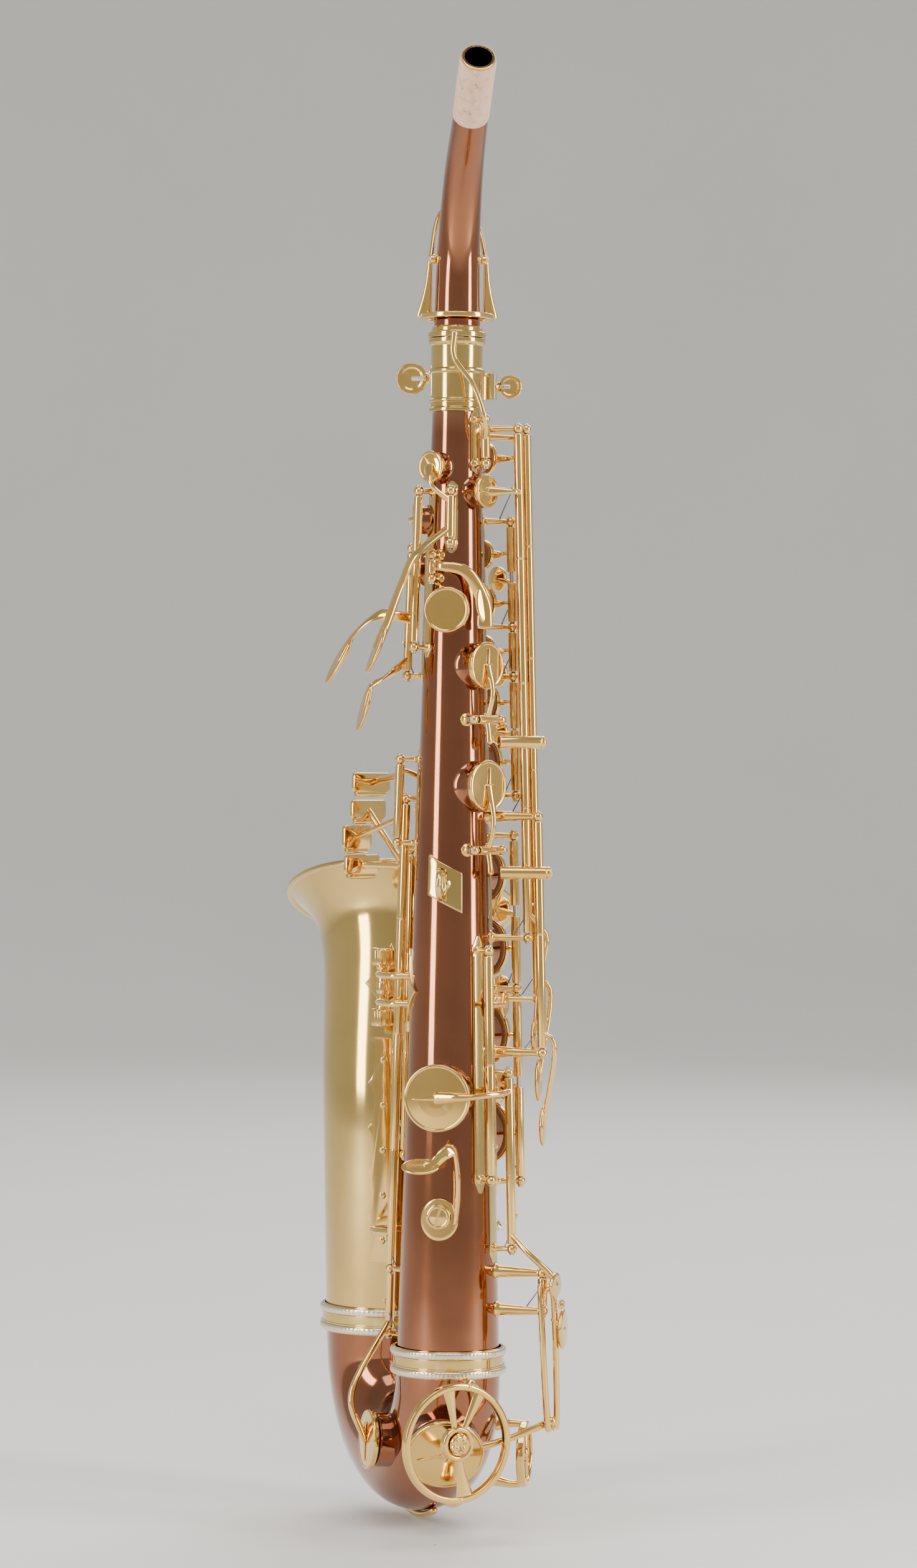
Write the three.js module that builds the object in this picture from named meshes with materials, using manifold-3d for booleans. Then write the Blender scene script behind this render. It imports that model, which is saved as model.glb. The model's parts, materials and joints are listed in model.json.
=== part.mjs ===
// Alto saxophone: conical body tube, bow and bell, swivelling neck, and the key work on them.
// Millimetres, +Z up along the body tube. The origin is the eye of the strap ring, which
// carries the instrument. -Y is the player's side (thumb rest and thumb hook), +X the
// player's right hand, +Y the front, where the main tone holes are.
import * as THREE from 'three';
import { mergeVertices } from 'three/addons/utils/BufferGeometryUtils.js';
import Module from 'manifold-3d';

// ---- driving dimensions -------------------------------------------------------------
const AXIS_Y = 28;            // distance from the strap ring's eye to the body tube's axis
const TUBE_TOP = 236;         // upper end of the body tube
const TUBE_BOTTOM = -242;     // lower end of the body tube
const TUBE_TOP_RADIUS = 12.1;
const TAPER = 0.029;          // radius gained per mm down the tube
const WALL = 1;
const GAP = 0.3;              // clearance between neighbouring pieces

const BOW_RADIUS = 49;        // centre line of the U-bend
const BOW_ARC_Z = -244.5;     // height of the bend's centre
const BELL_SIDE_Z = -229;     // where the bow meets the bell
const BELL_AZ = -150;         // direction from the body tube to the bell
const BELL_BASE_RADIUS = 33;
const BELL_RIM_RADIUS = 60;
const BELL_STRAIGHT_TOP = -130;
const BELL_LEAN = 22;         // degrees, forward, at the rim
const BELL_BEND = 312;        // radius of the bell's forward curve

const RECEIVER_TOP = 273;
const RECEIVER_RADIUS = 13;
const NECK_AZ = 17.5;         // where the neck points, from the player's side to the right
const NECK_RISE = 15;         // straight part above the receiver
const NECK_BEND = 95;         // radius of the neck's curve
const NECK_TURN = 54;         // degrees through which it curves
const NECK_END = 60;          // straight part after the curve
const NECK_BASE_RADIUS = 11.8;
const NECK_TIP_RADIUS = 7.7;
const CORK_LENGTH = 40;
const CORK_RADIUS = 9;

const ROD = 1.1;              // steel pivot rod, radius
const HINGE = 2.3;            // hinge tube on a rod, outer radius
const HINGE_BORE = 1.5;
const POST_TOP = 2.2;          // half thickness of a post at its rod
const CUP_HEIGHT = 4.6;       // key cup with its pad
const CLOSED = 0.4;           // pad above its tone hole, key closed
const LIFT = 4.6;             // how far an open key's pad stands above that
const CHIMNEY = 4;            // tone hole rim above the tube
const STACK_AZ = 158;         // the main row of tone holes

// Colours of the finishes: sRGB, roughness, metalness.
const finish = (color, roughness, metalness) =>
  new THREE.MeshStandardMaterial({ color, roughness, metalness });
const copper = finish(0x8a4a2c, 0.2, 1);
const brass = finish(0xb09a52, 0.16, 1);
const gold = finish(0xd9a94a, 0.18, 1);
const cork = finish(0xd9b596, 0.85, 0);
const felt = finish(0x3a2a24, 0.95, 0);

const wasm = await Module();
wasm.setup();

// ---- places -------------------------------------------------------------------------
const rad = THREE.MathUtils.degToRad;
const vec = (x, y, z) => new THREE.Vector3(x, y, z);
const UP = vec(0, 0, 1);

// Azimuths run from the player's side (0) to the player's right (90) and the front (180).
const out = (az) => vec(Math.sin(rad(az)), -Math.cos(rad(az)), 0);
const along = (az) => vec(Math.cos(rad(az)), Math.sin(rad(az)), 0);
const at = (az, r, z) => out(az).multiplyScalar(r).add(vec(0, AXIS_Y, z));
const tubeRadius = (z) => TUBE_TOP_RADIUS + TAPER * (TUBE_TOP - z);
const on = (az, height, z) => at(az, tubeRadius(z) + height, z);
const lerp = (a, b, t) => a.clone().lerp(b, t);

// ---- solids -------------------------------------------------------------------------
function solid(geometry) {
  let plain = geometry.clone();
  for (const name of Object.keys(plain.attributes)) {
    if (name !== 'position') plain.deleteAttribute(name);
  }
  plain = mergeVertices(plain, 1e-4);
  return new wasm.Manifold(new wasm.Mesh({
    numProp: 3,
    vertProperties: new Float32Array(plain.attributes.position.array),
    triVerts: new Uint32Array(plain.index.array),
  }));
}

const group = new THREE.Group();

function piece(name, body, material) {
  const { vertProperties, triVerts } = body.getMesh();
  const geometry = new THREE.BufferGeometry();
  geometry.setAttribute('position', new THREE.BufferAttribute(new Float32Array(vertProperties), 3));
  geometry.setIndex(new THREE.BufferAttribute(new Uint32Array(triVerts), 1));
  geometry.computeVertexNormals();
  const mesh = new THREE.Mesh(geometry, material);
  mesh.name = name;
  group.add(mesh);
}

const join = (...solids) => solids.flat().reduce((sum, next) => sum.add(next));

// A geometry that stands along +Y, turned so that it stands along a direction at a point.
function stand(geometry, point, direction) {
  const turn = new THREE.Quaternion().setFromUnitVectors(vec(0, 1, 0), direction.clone().normalize());
  geometry.applyQuaternion(turn);
  geometry.translate(point.x, point.y, point.z);
  return solid(geometry);
}

function cylinder(a, b, ra, rb = ra, sides = 6) {
  const axis = b.clone().sub(a);
  return stand(new THREE.CylinderGeometry(rb, ra, axis.length(), sides), lerp(a, b, 0.5), axis);
}

const ball = (p, r, sides = 6, rings = 3) => {
  const sphere = new THREE.SphereGeometry(r, sides, rings);
  sphere.rotateX(Math.PI / 2);
  sphere.translate(p.x, p.y, p.z);
  return solid(sphere);
};

// A body turned about an axis from its half profile: pairs of radius and height.
function turned(profile, point = vec(0, 0, 0), direction = vec(0, 1, 0), sides = 14) {
  const points = profile.map(([r, h]) => new THREE.Vector2(r, h));
  return stand(new THREE.LatheGeometry(points, sides), point, direction);
}

// A round bar along a smooth line through points.
function bar(points, r, steps = 3, sides = 4) {
  const ring = new THREE.Shape();
  for (let i = 0; i < sides; i += 1) {
    const a = (2 * Math.PI * i) / sides;
    if (i === 0) ring.moveTo(r, 0);
    else ring.lineTo(r * Math.cos(a), r * Math.sin(a));
  }
  ring.closePath();
  const path = points.length === 2
    ? new THREE.LineCurve3(points[0], points[1])
    : new THREE.CatmullRomCurve3(points);
  const geometry = new THREE.ExtrudeGeometry(ring, {
    steps: points.length === 2 ? 1 : steps,
    bevelEnabled: false,
    extrudePath: path,
    curveSegments: 1,
  });
  return solid(geometry);
}

// A smooth lens-shaped touch: half sizes along its length, its width and its thickness.
function touch(point, lengthways, normal, size) {
  const lens = new THREE.SphereGeometry(1, 8, 5);
  const x = lengthways.clone().normalize();
  const z = normal.clone().addScaledVector(x, -normal.dot(x)).normalize();
  const y = z.clone().cross(x);
  const turn = new THREE.Matrix4().makeBasis(x, y, z);
  lens.scale(...size);
  lens.applyMatrix4(turn);
  lens.translate(point.x, point.y, point.z);
  return solid(lens);
}

// A flat plate from an outline, its face towards `normal`, its own y axis near `upright`.
function plate(shape, thickness, point, normal, upright = UP) {
  const geometry = new THREE.ExtrudeGeometry(shape, {
    depth: thickness, bevelEnabled: false, curveSegments: 8,
  });
  const z = normal.clone().normalize();
  const x = upright.clone().cross(z).normalize();
  const turn = new THREE.Matrix4().makeBasis(x, z.clone().cross(x), z);
  geometry.applyMatrix4(turn);
  geometry.translate(point.x, point.y, point.z);
  return solid(geometry);
}

// A hollow horn: a closed wall profile turned round a line that bends in one plane.
// place(s) gives the point, the heading and the sideways direction at s from 0 to 1.
function horn(place, outer, inner, steps, sides) {
  const profile = [];
  for (let i = 0; i <= steps; i += 1) profile.push([outer(i / steps), i / steps]);
  if (inner) {
    for (let i = steps; i >= 0; i -= 1) profile.push([inner(i / steps), i / steps]);
    profile.push(profile[0]);
  } else {
    profile.unshift([0, 0]);
    profile.push([0, 1]);
  }
  const points = profile.map(([r, s]) => new THREE.Vector2(r, s));
  const geometry = new THREE.LatheGeometry(points, sides);
  const position = geometry.attributes.position;
  for (let i = 0; i < position.count; i += 1) {
    const { point, heading, side } = place(position.getY(i));
    const third = side.clone().cross(heading);
    const moved = point.clone()
      .addScaledVector(side, position.getX(i))
      .addScaledVector(third, position.getZ(i));
    position.setXYZ(i, moved.x, moved.y, moved.z);
  }
  const body = solid(geometry);
  if (body.volume() > 0) return body;
  return solid(flip(geometry));
}

function flip(geometry) {
  const index = geometry.index.array;
  for (let i = 0; i < index.length; i += 3) {
    [index[i], index[i + 1]] = [index[i + 1], index[i]];
  }
  return geometry;
}

// ---- tone holes ---------------------------------------------------------------------
// name: azimuth, height and radius of the hole
const HOLES = {
  palm_f: [-28, 208, 5.5],
  palm_eflat: [-78, 182, 6],
  palm_d: [-125, 158, 6.5],
  side_e: [62, 196, 6],
  high_fsharp: [138, 214, 5.5],
  side_c: [58, 109, 9.5],
  side_bflat: [57, 49, 10.5],
  c_key: [STACK_AZ, 166, 5],
  b_key: [STACK_AZ, 141, 7],
  bis_key: [STACK_AZ, 117, 6],
  a_key: [STACK_AZ, 91, 8.5],
  g_key: [STACK_AZ, 61, 10],
  gsharp_key: [-150, 36, 10],
  fsharp_key: [STACK_AZ, 4, 11.5],
  f_key: [STACK_AZ, -33, 12.5],
  e_key: [STACK_AZ, -77, 13],
  d_key: [STACK_AZ, -127, 13.5],
  low_eflat: [-2, -106, 14.5],
};
const RIM = 1;                // thickness of a tone hole's rim
const CUP_MARGIN = 2.4;       // how much wider a cup is than its hole

const holeSides = (radius) => (radius < 9 ? 6 : 8);
const chimneyTop = ([az, z]) => tubeRadius(z) + CHIMNEY;
const cupRadius = (hole) => hole[2] + CUP_MARGIN;

// ---- posts and rods, soldered to the body tube --------------------------------------
// azimuth, height above the tube, then the heights along the tube of its posts
const ROWS = {
  palm_f: [4, 6.5, 196, 170],
  octave: [-22, 6.5, 164, 152],
  palm_eflat: [-48, 8, 196, 118],
  palm_d: [-94, 8.5, 168, 104],
  left_stack: [116, 15, 182, 129, 104, 44],
  side_e: [92, 19, 228, -27],
  side_c: [100, 22.8, 228, -58],
  side_bflat: [84, 26.5, 34, -84],
  fsharp_trill: [52, 8.5, -33, -147],
  right_stack: [112, 13, 24, -53, -150],
  low_eflat: [76, 10.5, -94, -182],
  low_keys: [85, 24, -194, -213],
  octave_rocker: [60, 7, 232, 210],
  high_fsharp: [108, 19, 224, 34],
  gsharp: [-90, 10, 62, 20],
  table_csharp: [-122, 16, 17, -230],
  table_b: [-108, 9.5, 42, -196],
  table_bflat: [-136, 20, 16, -140],
};

const POST_FOOT = 1.6;
const LONG_POST = 24;         // posts at least this high have a thicker foot
const LONG_POST_FOOT = 3.4;
function postRow([az, height, ...zs]) {
  const foot = height < LONG_POST ? POST_FOOT : LONG_POST_FOOT;
  const parts = zs.map((z) => cylinder(
    at(az, tubeRadius(z) - 0.6, z), on(az, height + POST_TOP, z), foot, POST_TOP, 5));
  const rod = cylinder(on(az, height, zs[0]), on(az, height, zs.at(-1)), ROD, ROD, 5);
  return join(parts, rod);
}

// Cross rods that the side cups turn on: the height of each along the tube.
const CROSS = 10;             // half length of a cross rod
const CROSS_HEIGHT = 6.5;
const CROSS_ROWS = { side_c: 82, side_bflat: 17 };

function crossRow([name, z]) {
  const [az] = HOLES[name];
  const middle = on(az, CROSS_HEIGHT, z);
  const ends = [-1, 1].map((turn) => middle.clone().addScaledVector(along(az), turn * CROSS));
  const axisPoint = at(az, 0, z);
  const posts = ends.map((end) => {
    const away = end.clone().sub(axisPoint).normalize();
    const foot = axisPoint.clone().addScaledVector(away, tubeRadius(z) - 0.6);
    return cylinder(foot, end.clone().addScaledVector(away, POST_TOP), POST_FOOT, POST_TOP, 5);
  });
  return join(posts, cylinder(...ends, ROD, ROD, 5));
}

const tubeWall = turned([
  [tubeRadius(TUBE_BOTTOM), TUBE_BOTTOM],
  [TUBE_TOP_RADIUS, TUBE_TOP],
  [TUBE_TOP_RADIUS - WALL, TUBE_TOP],
  [tubeRadius(TUBE_BOTTOM) - WALL, TUBE_BOTTOM],
  [tubeRadius(TUBE_BOTTOM), TUBE_BOTTOM],
], vec(0, AXIS_Y, 0), UP, 16);

function bodyTube() {
  const chimneys = Object.values(HOLES).map((hole) => {
    const [az, z, radius] = hole;
    const foot = tubeRadius(z) * Math.cos(Math.asin((radius + RIM) / tubeRadius(z))) - WALL / 2;
    return cylinder(at(az, foot, z), at(az, chimneyTop(hole), z), radius + RIM, radius + RIM,
      holeSides(radius));
  });
  const core = turned([
    [0, TUBE_BOTTOM - 1],
    [tubeRadius(TUBE_BOTTOM) - WALL, TUBE_BOTTOM - 1],
    [TUBE_TOP_RADIUS - WALL, TUBE_TOP + 1],
    [0, TUBE_TOP + 1],
  ], vec(0, AXIS_Y, 0), UP, 16);
  const bores = Object.values(HOLES).map(([az, z, radius]) =>
    cylinder(at(az, 2, z), at(az, 40, z), radius, radius, holeSides(radius)));
  const rows = [...Object.values(ROWS).map(postRow), ...Object.entries(CROSS_ROWS).map(crossRow)];
  const walls = join(tubeWall, chimneys).subtract(core);
  const drilled = walls.subtract(join(bores));
  return join(drilled, rows);
}
piece('body_tube', bodyTube(), copper);

// ---- bow ----------------------------------------------------------------------------
const toBell = out(BELL_AZ);
const bowTop = TUBE_BOTTOM - GAP;
const bowDown = bowTop - BOW_ARC_Z;
const bowUp = BELL_SIDE_Z - GAP - BOW_ARC_Z;
const bowLength = bowDown + Math.PI * BOW_RADIUS + bowUp;

function bowPlace(s) {
  const run = s * bowLength;
  const side = along(BELL_AZ);
  if (run < bowDown) {
    return { point: at(0, 0, bowTop - run), heading: vec(0, 0, -1), side };
  }
  const turn = Math.min((run - bowDown) / BOW_RADIUS, Math.PI);
  const reach = BOW_RADIUS * (1 - Math.cos(turn));
  const rise = Math.max(run - bowDown - Math.PI * BOW_RADIUS, 0);
  const z = BOW_ARC_Z - BOW_RADIUS * Math.sin(turn) + rise;
  const heading = toBell.clone().multiplyScalar(Math.sin(turn)).add(vec(0, 0, -Math.cos(turn)));
  return { point: at(BELL_AZ, reach, z), heading, side };
}
const bowStart = tubeRadius(TUBE_BOTTOM);
const bowRadius = (s) => THREE.MathUtils.lerp(bowStart, BELL_BASE_RADIUS, s);

// The low C hole is on the bend's player's side, the low C sharp hole on its left.
const BOW_HOLES = {
  low_c: [0.15, 14, 16.5],
  low_csharp: [0.27, -66, 12.5],
};
function bowHole([s, az, radius]) {
  const { point: centre, heading } = bowPlace(s);
  const direction = out(az).projectOnPlane(heading).normalize();
  const reach = bowRadius(s) + CHIMNEY + 1;
  return { centre, direction, radius, top: centre.clone().addScaledVector(direction, reach) };
}
const lowC = bowHole(BOW_HOLES.low_c);
const lowCSharp = bowHole(BOW_HOLES.low_csharp);

function bow() {
  const outer = horn(bowPlace, bowRadius, (s) => bowRadius(s) - WALL, 9, 16);
  const filled = horn(bowPlace, (s) => bowRadius(s) - WALL, null, 9, 16);
  const holes = [lowC, lowCSharp];
  const chimneys = holes.map((hole) => cylinder(
    hole.centre, hole.top, hole.radius + RIM, hole.radius + RIM, 10));
  const bores = holes.map((hole) => cylinder(
    hole.centre, lerp(hole.centre, hole.top, 2), hole.radius, hole.radius, 10));
  return join(outer, join(chimneys).subtract(filled)).subtract(join(bores));
}
piece('bow', bow(), copper);

// ---- bell ---------------------------------------------------------------------------
const bellRun = BELL_STRAIGHT_TOP - BELL_SIDE_Z;
const bellCurve = BELL_BEND * rad(BELL_LEAN);
const bellLength = bellRun + bellCurve;
const bellCentre = at(BELL_AZ, 2 * BOW_RADIUS, 0);

function bellPlace(s) {
  const run = s * bellLength;
  const side = vec(1, 0, 0);
  const turn = Math.max(run - bellRun, 0) / BELL_BEND;
  const point = bellCentre.clone().setZ(BELL_SIDE_Z + Math.min(run, bellRun));
  point.add(vec(0, BELL_BEND * (1 - Math.cos(turn)), BELL_BEND * Math.sin(turn)));
  return { point, heading: vec(0, Math.sin(turn), Math.cos(turn)), side };
}
// The horn widens slowly, then flares to the rim as a falling exponential.
const FLARE_LENGTH = 13;
const bellTopRadius = 38;
const bellRadius = (s) => {
  const left = (1 - s) * bellLength;
  const slow = THREE.MathUtils.lerp(BELL_BASE_RADIUS, bellTopRadius, s);
  return slow + (BELL_RIM_RADIUS - bellTopRadius) * Math.exp(-left / FLARE_LENGTH);
};
// Sections are packed towards the rim, where the curve is strongest.
const nearRim = (s) => 1 - (1 - s) ** 2;

function bellHole(z, az, radius) {
  const s = (z - BELL_SIDE_Z) / bellLength;
  const centre = bellPlace(s).point;
  const direction = out(az);
  const reach = bellRadius(s) + CHIMNEY + 2;
  return { centre, direction, radius, top: centre.clone().addScaledVector(direction, reach) };
}
const lowB = bellHole(-178, 84, 19);
const lowBFlat = bellHole(-112, 84, 20);

const RIM_ROLL = 1.9;
function bell() {
  const place = (s) => bellPlace(nearRim(s));
  const radius = (s) => bellRadius(nearRim(s));
  const shell = horn(place, radius, (s) => radius(s) - WALL, 9, 18);
  const mouth = bellPlace(1);
  const roll = [];
  for (let i = 0; i <= 6; i += 1) {
    const a = (2 * Math.PI * i) / 6;
    roll.push([BELL_RIM_RADIUS - 0.6 + RIM_ROLL * Math.cos(a), RIM_ROLL * Math.sin(a)]);
  }
  const rim = turned(roll, mouth.point, mouth.heading, 18);
  const filled = horn(place, (s) => radius(s) - WALL, null, 9, 18);
  const chimneys = [lowB, lowBFlat].map((hole) => cylinder(
    hole.centre, hole.top, hole.radius + RIM, hole.radius + RIM, 10));
  const bores = [lowB, lowBFlat].map((hole) => cylinder(
    hole.centre, lerp(hole.centre, hole.top, 2), hole.radius, hole.radius, 10));
  return join(shell, rim, join(chimneys).subtract(filled)).subtract(join(bores));
}
piece('bell', bell(), brass);

// ---- rings at both ends of the bow --------------------------------------------------
const RING_SIDES = 16;
function ring(name, z, centre, radius, height) {
  const bead = 2.6;
  const r = (radius + GAP) / Math.cos(Math.PI / RING_SIDES);
  piece(name, turned([
    [r, 0],
    [r + bead, 0],
    [r + bead, 3.4],
    [r + 1.4, 4.2],
    [r + 1.4, height - 4.2],
    [r + bead, height - 3.4],
    [r + bead, height],
    [r, height],
    [r, 0],
  ], centre.clone().setZ(z), UP, RING_SIDES), brass);
}
const RING_HEIGHT = 14;
ring('body_bow_ring', TUBE_BOTTOM - 4, at(0, 0, 0), bowRadius(0.06), RING_HEIGHT);
ring('bell_bow_ring', BELL_SIDE_Z - 7, bellCentre, BELL_BASE_RADIUS + 0.4, RING_HEIGHT);

// ---- neck receiver ------------------------------------------------------------------
const TENON = 11;
const CLAMP_Y = 17;           // clamp screw, in front of the receiver
const clampAxis = (x, z) => vec(x, AXIS_Y + CLAMP_Y, z);
const CLAMP_Z = 255;

function receiver() {
  const bore = TENON + GAP;
  const z = TUBE_TOP + GAP;
  const sleeve = turned([
    [bore, z], [RECEIVER_RADIUS, z],
    [RECEIVER_RADIUS, 240], [RECEIVER_RADIUS + 1.2, 240.5], [RECEIVER_RADIUS, 241.5],
    [RECEIVER_RADIUS, 256], [RECEIVER_RADIUS + 1.2, 256.7], [RECEIVER_RADIUS, 257.5],
    [RECEIVER_RADIUS, RECEIVER_TOP - 3], [RECEIVER_RADIUS + 1.4, RECEIVER_TOP - 2],
    [RECEIVER_RADIUS + 1.4, RECEIVER_TOP], [bore, RECEIVER_TOP], [bore, z],
  ], vec(0, AXIS_Y, 0), UP, 16);
  const lugs = [-4, 4].map((x) => cylinder(
    clampAxis(x - 1.6, CLAMP_Z), clampAxis(x + 1.6, CLAMP_Z), 5.4, 5.4, 8));
  const slot = solid(new THREE.BoxGeometry(1.4, 14, 26)
    .translate(0, AXIS_Y + 15, RECEIVER_TOP - 11));
  const bores = cylinder(clampAxis(-9, CLAMP_Z), clampAxis(9, CLAMP_Z), 2.1, 2.1, 8);
  const inside = cylinder(at(0, 0, 200), at(0, 0, 300), bore, bore, 16);
  return join(sleeve, join(lugs).subtract(inside)).subtract(slot).subtract(bores);
}
piece('neck_receiver', receiver(), brass);

function thumbScrew(name, from, to, head) {
  const axis = to.clone().sub(from).normalize();
  piece(name, join(
    cylinder(from, to, 1.7, 1.7, 8),
    cylinder(from.clone().addScaledVector(out(0), -1.3), from.clone().addScaledVector(out(0), 1.3),
      head, head, 16),
    cylinder(from, from.clone().addScaledVector(axis, head + 1), 3, 2.2, 10),
  ), gold);
}
thumbScrew('neck_clamp_screw', clampAxis(-26.5, CLAMP_Z), clampAxis(6, CLAMP_Z), 8);

// ---- neck ---------------------------------------------------------------------------
const neckLength = NECK_RISE + NECK_BEND * rad(NECK_TURN) + NECK_END;
const neckBase = at(0, 0, RECEIVER_TOP + GAP);

function neckPlace(s) {
  const run = s * neckLength;
  const turn = THREE.MathUtils.clamp((run - NECK_RISE) / NECK_BEND, 0, rad(NECK_TURN));
  const straight = Math.max(run - NECK_RISE - NECK_BEND * rad(NECK_TURN), 0);
  const reach = NECK_BEND * (1 - Math.cos(turn)) + straight * Math.sin(turn);
  const rise = Math.min(run, NECK_RISE) + NECK_BEND * Math.sin(turn) + straight * Math.cos(turn);
  const heading = out(NECK_AZ).multiplyScalar(Math.sin(turn)).add(vec(0, 0, Math.cos(turn)));
  const point = neckBase.clone().addScaledVector(out(NECK_AZ), reach).add(vec(0, 0, rise));
  return { point, heading, side: along(NECK_AZ) };
}
const neckRadius = (s) => THREE.MathUtils.lerp(NECK_BASE_RADIUS, NECK_TIP_RADIUS, s);
const NECK_HOLE_S = 0.4;      // octave vent, on top of the neck's curve
const neckHole = neckPlace(NECK_HOLE_S);
const neckPivot = neckPlace(0.24).point;      // the octave key turns about this point
const neckTop = (s, height) => {
  const { point, heading, side } = neckPlace(s);
  const up = heading.clone().cross(side);
  if (up.dot(out(NECK_AZ)) > 0) up.negate();
  return point.addScaledVector(up, neckRadius(s) + height);
};

function neck() {
  const shell = horn(neckPlace, neckRadius, (s) => neckRadius(s) - WALL, 8, 14);
  const bore = TENON - WALL;
  const tenon = turned([
    [bore, RECEIVER_TOP - 30], [TENON, RECEIVER_TOP - 30], [TENON, RECEIVER_TOP + GAP],
    [RECEIVER_RADIUS + 1.6, RECEIVER_TOP + GAP], [RECEIVER_RADIUS + 1.6, RECEIVER_TOP + 3],
    [NECK_BASE_RADIUS - 0.5, RECEIVER_TOP + 5], [bore, RECEIVER_TOP + 5],
    [bore, RECEIVER_TOP - 30],
  ], vec(0, AXIS_Y, 0), UP, 14);
  const vent = cylinder(
    neckHole.point, neckTop(NECK_HOLE_S, 2.4), 2.6, 2.6, 10);
  const drill = cylinder(neckHole.point, neckTop(NECK_HOLE_S, 8), 1.2, 1.2, 8);
  const filled = horn(neckPlace, (s) => neckRadius(s) - WALL, null, 8, 14);
  const pivots = join([-1, 1].map((turn) => cylinder(
    neckPivot, neckPivot.clone().addScaledVector(along(NECK_AZ), 13.2 * turn), 1.6, 1.3))).subtract(filled);
  return join(shell, tenon, vent.subtract(filled), pivots).subtract(drill);
}
piece('neck_tube', neck(), copper);

function neckCork() {
  const s0 = 1 - CORK_LENGTH / neckLength;
  const place = (s) => neckPlace(s0 + s * (0.992 - s0));
  const inner = (s) => neckRadius(s0 + s * (0.992 - s0)) + 0.25;
  return horn(place, () => CORK_RADIUS, inner, 2, 20);
}
piece('neck_cork', neckCork(), cork);

// Neck octave key: a loop round the neck's base, an arm up the left side and the vent's pad.
const LOOP_Z = RECEIVER_TOP + 11;
const LOOP_RADIUS = 17.2;
const NECK_PIVOT_REACH = 12.1;
const pivotEnd = (turn) => neckPivot.clone().addScaledVector(along(NECK_AZ), NECK_PIVOT_REACH * turn);

function neckOctaveKey() {
  const loop = turned([
    [LOOP_RADIUS - 1.4, -1.3], [LOOP_RADIUS + 1.4, -1.3],
    [LOOP_RADIUS + 1.4, 1.3], [LOOP_RADIUS - 1.4, 1.3], [LOOP_RADIUS - 1.4, -1.3],
  ], at(0, 0, LOOP_Z), vec(0, 0, 1), 16);
  const arms = [-1, 1].map((turn) => {
    const low = at(0, 0, LOOP_Z).addScaledVector(along(NECK_AZ), LOOP_RADIUS * turn);
    const high = pivotEnd(turn * 1.17);
    const rear = neckTop(0.34, 5).addScaledVector(along(NECK_AZ), 9.5 * turn);
    return join(bar([low, lerp(low, high, 0.5), high], 1.5, 3), ball(high, 2.3),
      bar([high, rear, neckTop(NECK_HOLE_S, 7)], 1.4, 4));
  });
  const hubs = [-1, 1].map((turn) => cylinder(pivotEnd(turn * 0.97), pivotEnd(turn * 1.2), 2.5));
  const holes = [-1, 1].map((turn) => cylinder(pivotEnd(turn * 0.8), pivotEnd(turn * 1.12), 1.75));
  const cup = turned([[0, 0], [4, 0], [4, 3], [2.5, 4.4], [0, 4.4]],
    neckTop(NECK_HOLE_S, 2.4 + CLOSED), neckTop(NECK_HOLE_S, 9).sub(neckTop(NECK_HOLE_S, 2)), 14);
  return join(loop, arms, hubs, cup).subtract(join(holes));
}
piece('neck_octave_key', neckOctaveKey(), gold);

// ---- fittings on the body -----------------------------------------------------------
// Strap ring: a slanted plate with upright sides, soldered to the tube, and a ring across it.
const STRAP_PLATE_HEIGHT = 29;
const STRAP_PLATE_WIDTH = 17;
const STRAP_PLATE_SLANT = 9;

function slanted(height, width, slant) {
  const shape = new THREE.Shape();
  shape.moveTo(-width / 2, height / 2);
  shape.lineTo(-width / 2, slant - height / 2);
  shape.lineTo(width / 2, -height / 2);
  shape.lineTo(width / 2, height / 2 - slant);
  shape.closePath();
  return shape;
}

function diamond(height, width) {
  const shape = new THREE.Shape();
  shape.moveTo(0, height / 2);
  shape.quadraticCurveTo(width * 0.3, height * 0.2, width / 2, 0);
  shape.quadraticCurveTo(width * 0.3, -height * 0.2, 0, -height / 2);
  shape.quadraticCurveTo(-width * 0.3, -height * 0.2, -width / 2, 0);
  shape.quadraticCurveTo(-width * 0.3, height * 0.2, 0, height / 2);
  return shape;
}

// A plate wrapped onto the tube or the bell: cut from a thin shell round it.
const WRAP = 22;
function wrapped(shape, az, z, thickness, centre = vec(0, AXIS_Y, 0), radiusAt = tubeRadius) {
  const low = radiusAt(z - WRAP) + GAP;
  const high = radiusAt(z + WRAP) + GAP;
  const shell = turned([
    [low, z - WRAP], [low + thickness, z - WRAP], [high + thickness, z + WRAP], [high, z + WRAP],
    [low, z - WRAP],
  ], centre, UP, 28);
  return shell.intersect(plate(shape, 50, centre.clone().addScaledVector(out(az), 8).setZ(z), out(az)));
}

const RING_EYE_Z = 0;
const RING_EYE_RADIUS = 5.4;
function strapRing() {
  const eye = vec(0, 0, RING_EYE_Z);
  const loop = [];
  for (let i = 0; i <= 6; i += 1) {
    const a = (2 * Math.PI * i) / 6;
    loop.push([RING_EYE_RADIUS + 1.5 + 1.5 * Math.cos(a), 1.5 * Math.sin(a)]);
  }
  const hoop = turned(loop, eye, vec(1, 0, 0), 16);
  const stem = cylinder(
    vec(0, RING_EYE_RADIUS + 1.2, 0), vec(0, AXIS_Y - tubeRadius(0) - GAP - 0.4, 0), 2.6);
  const face = slanted(STRAP_PLATE_HEIGHT, STRAP_PLATE_WIDTH, STRAP_PLATE_SLANT);
  return join(wrapped(face, 0, 0, 1.2), hoop, stem);
}
piece('strap_ring', strapRing(), brass);

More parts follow.
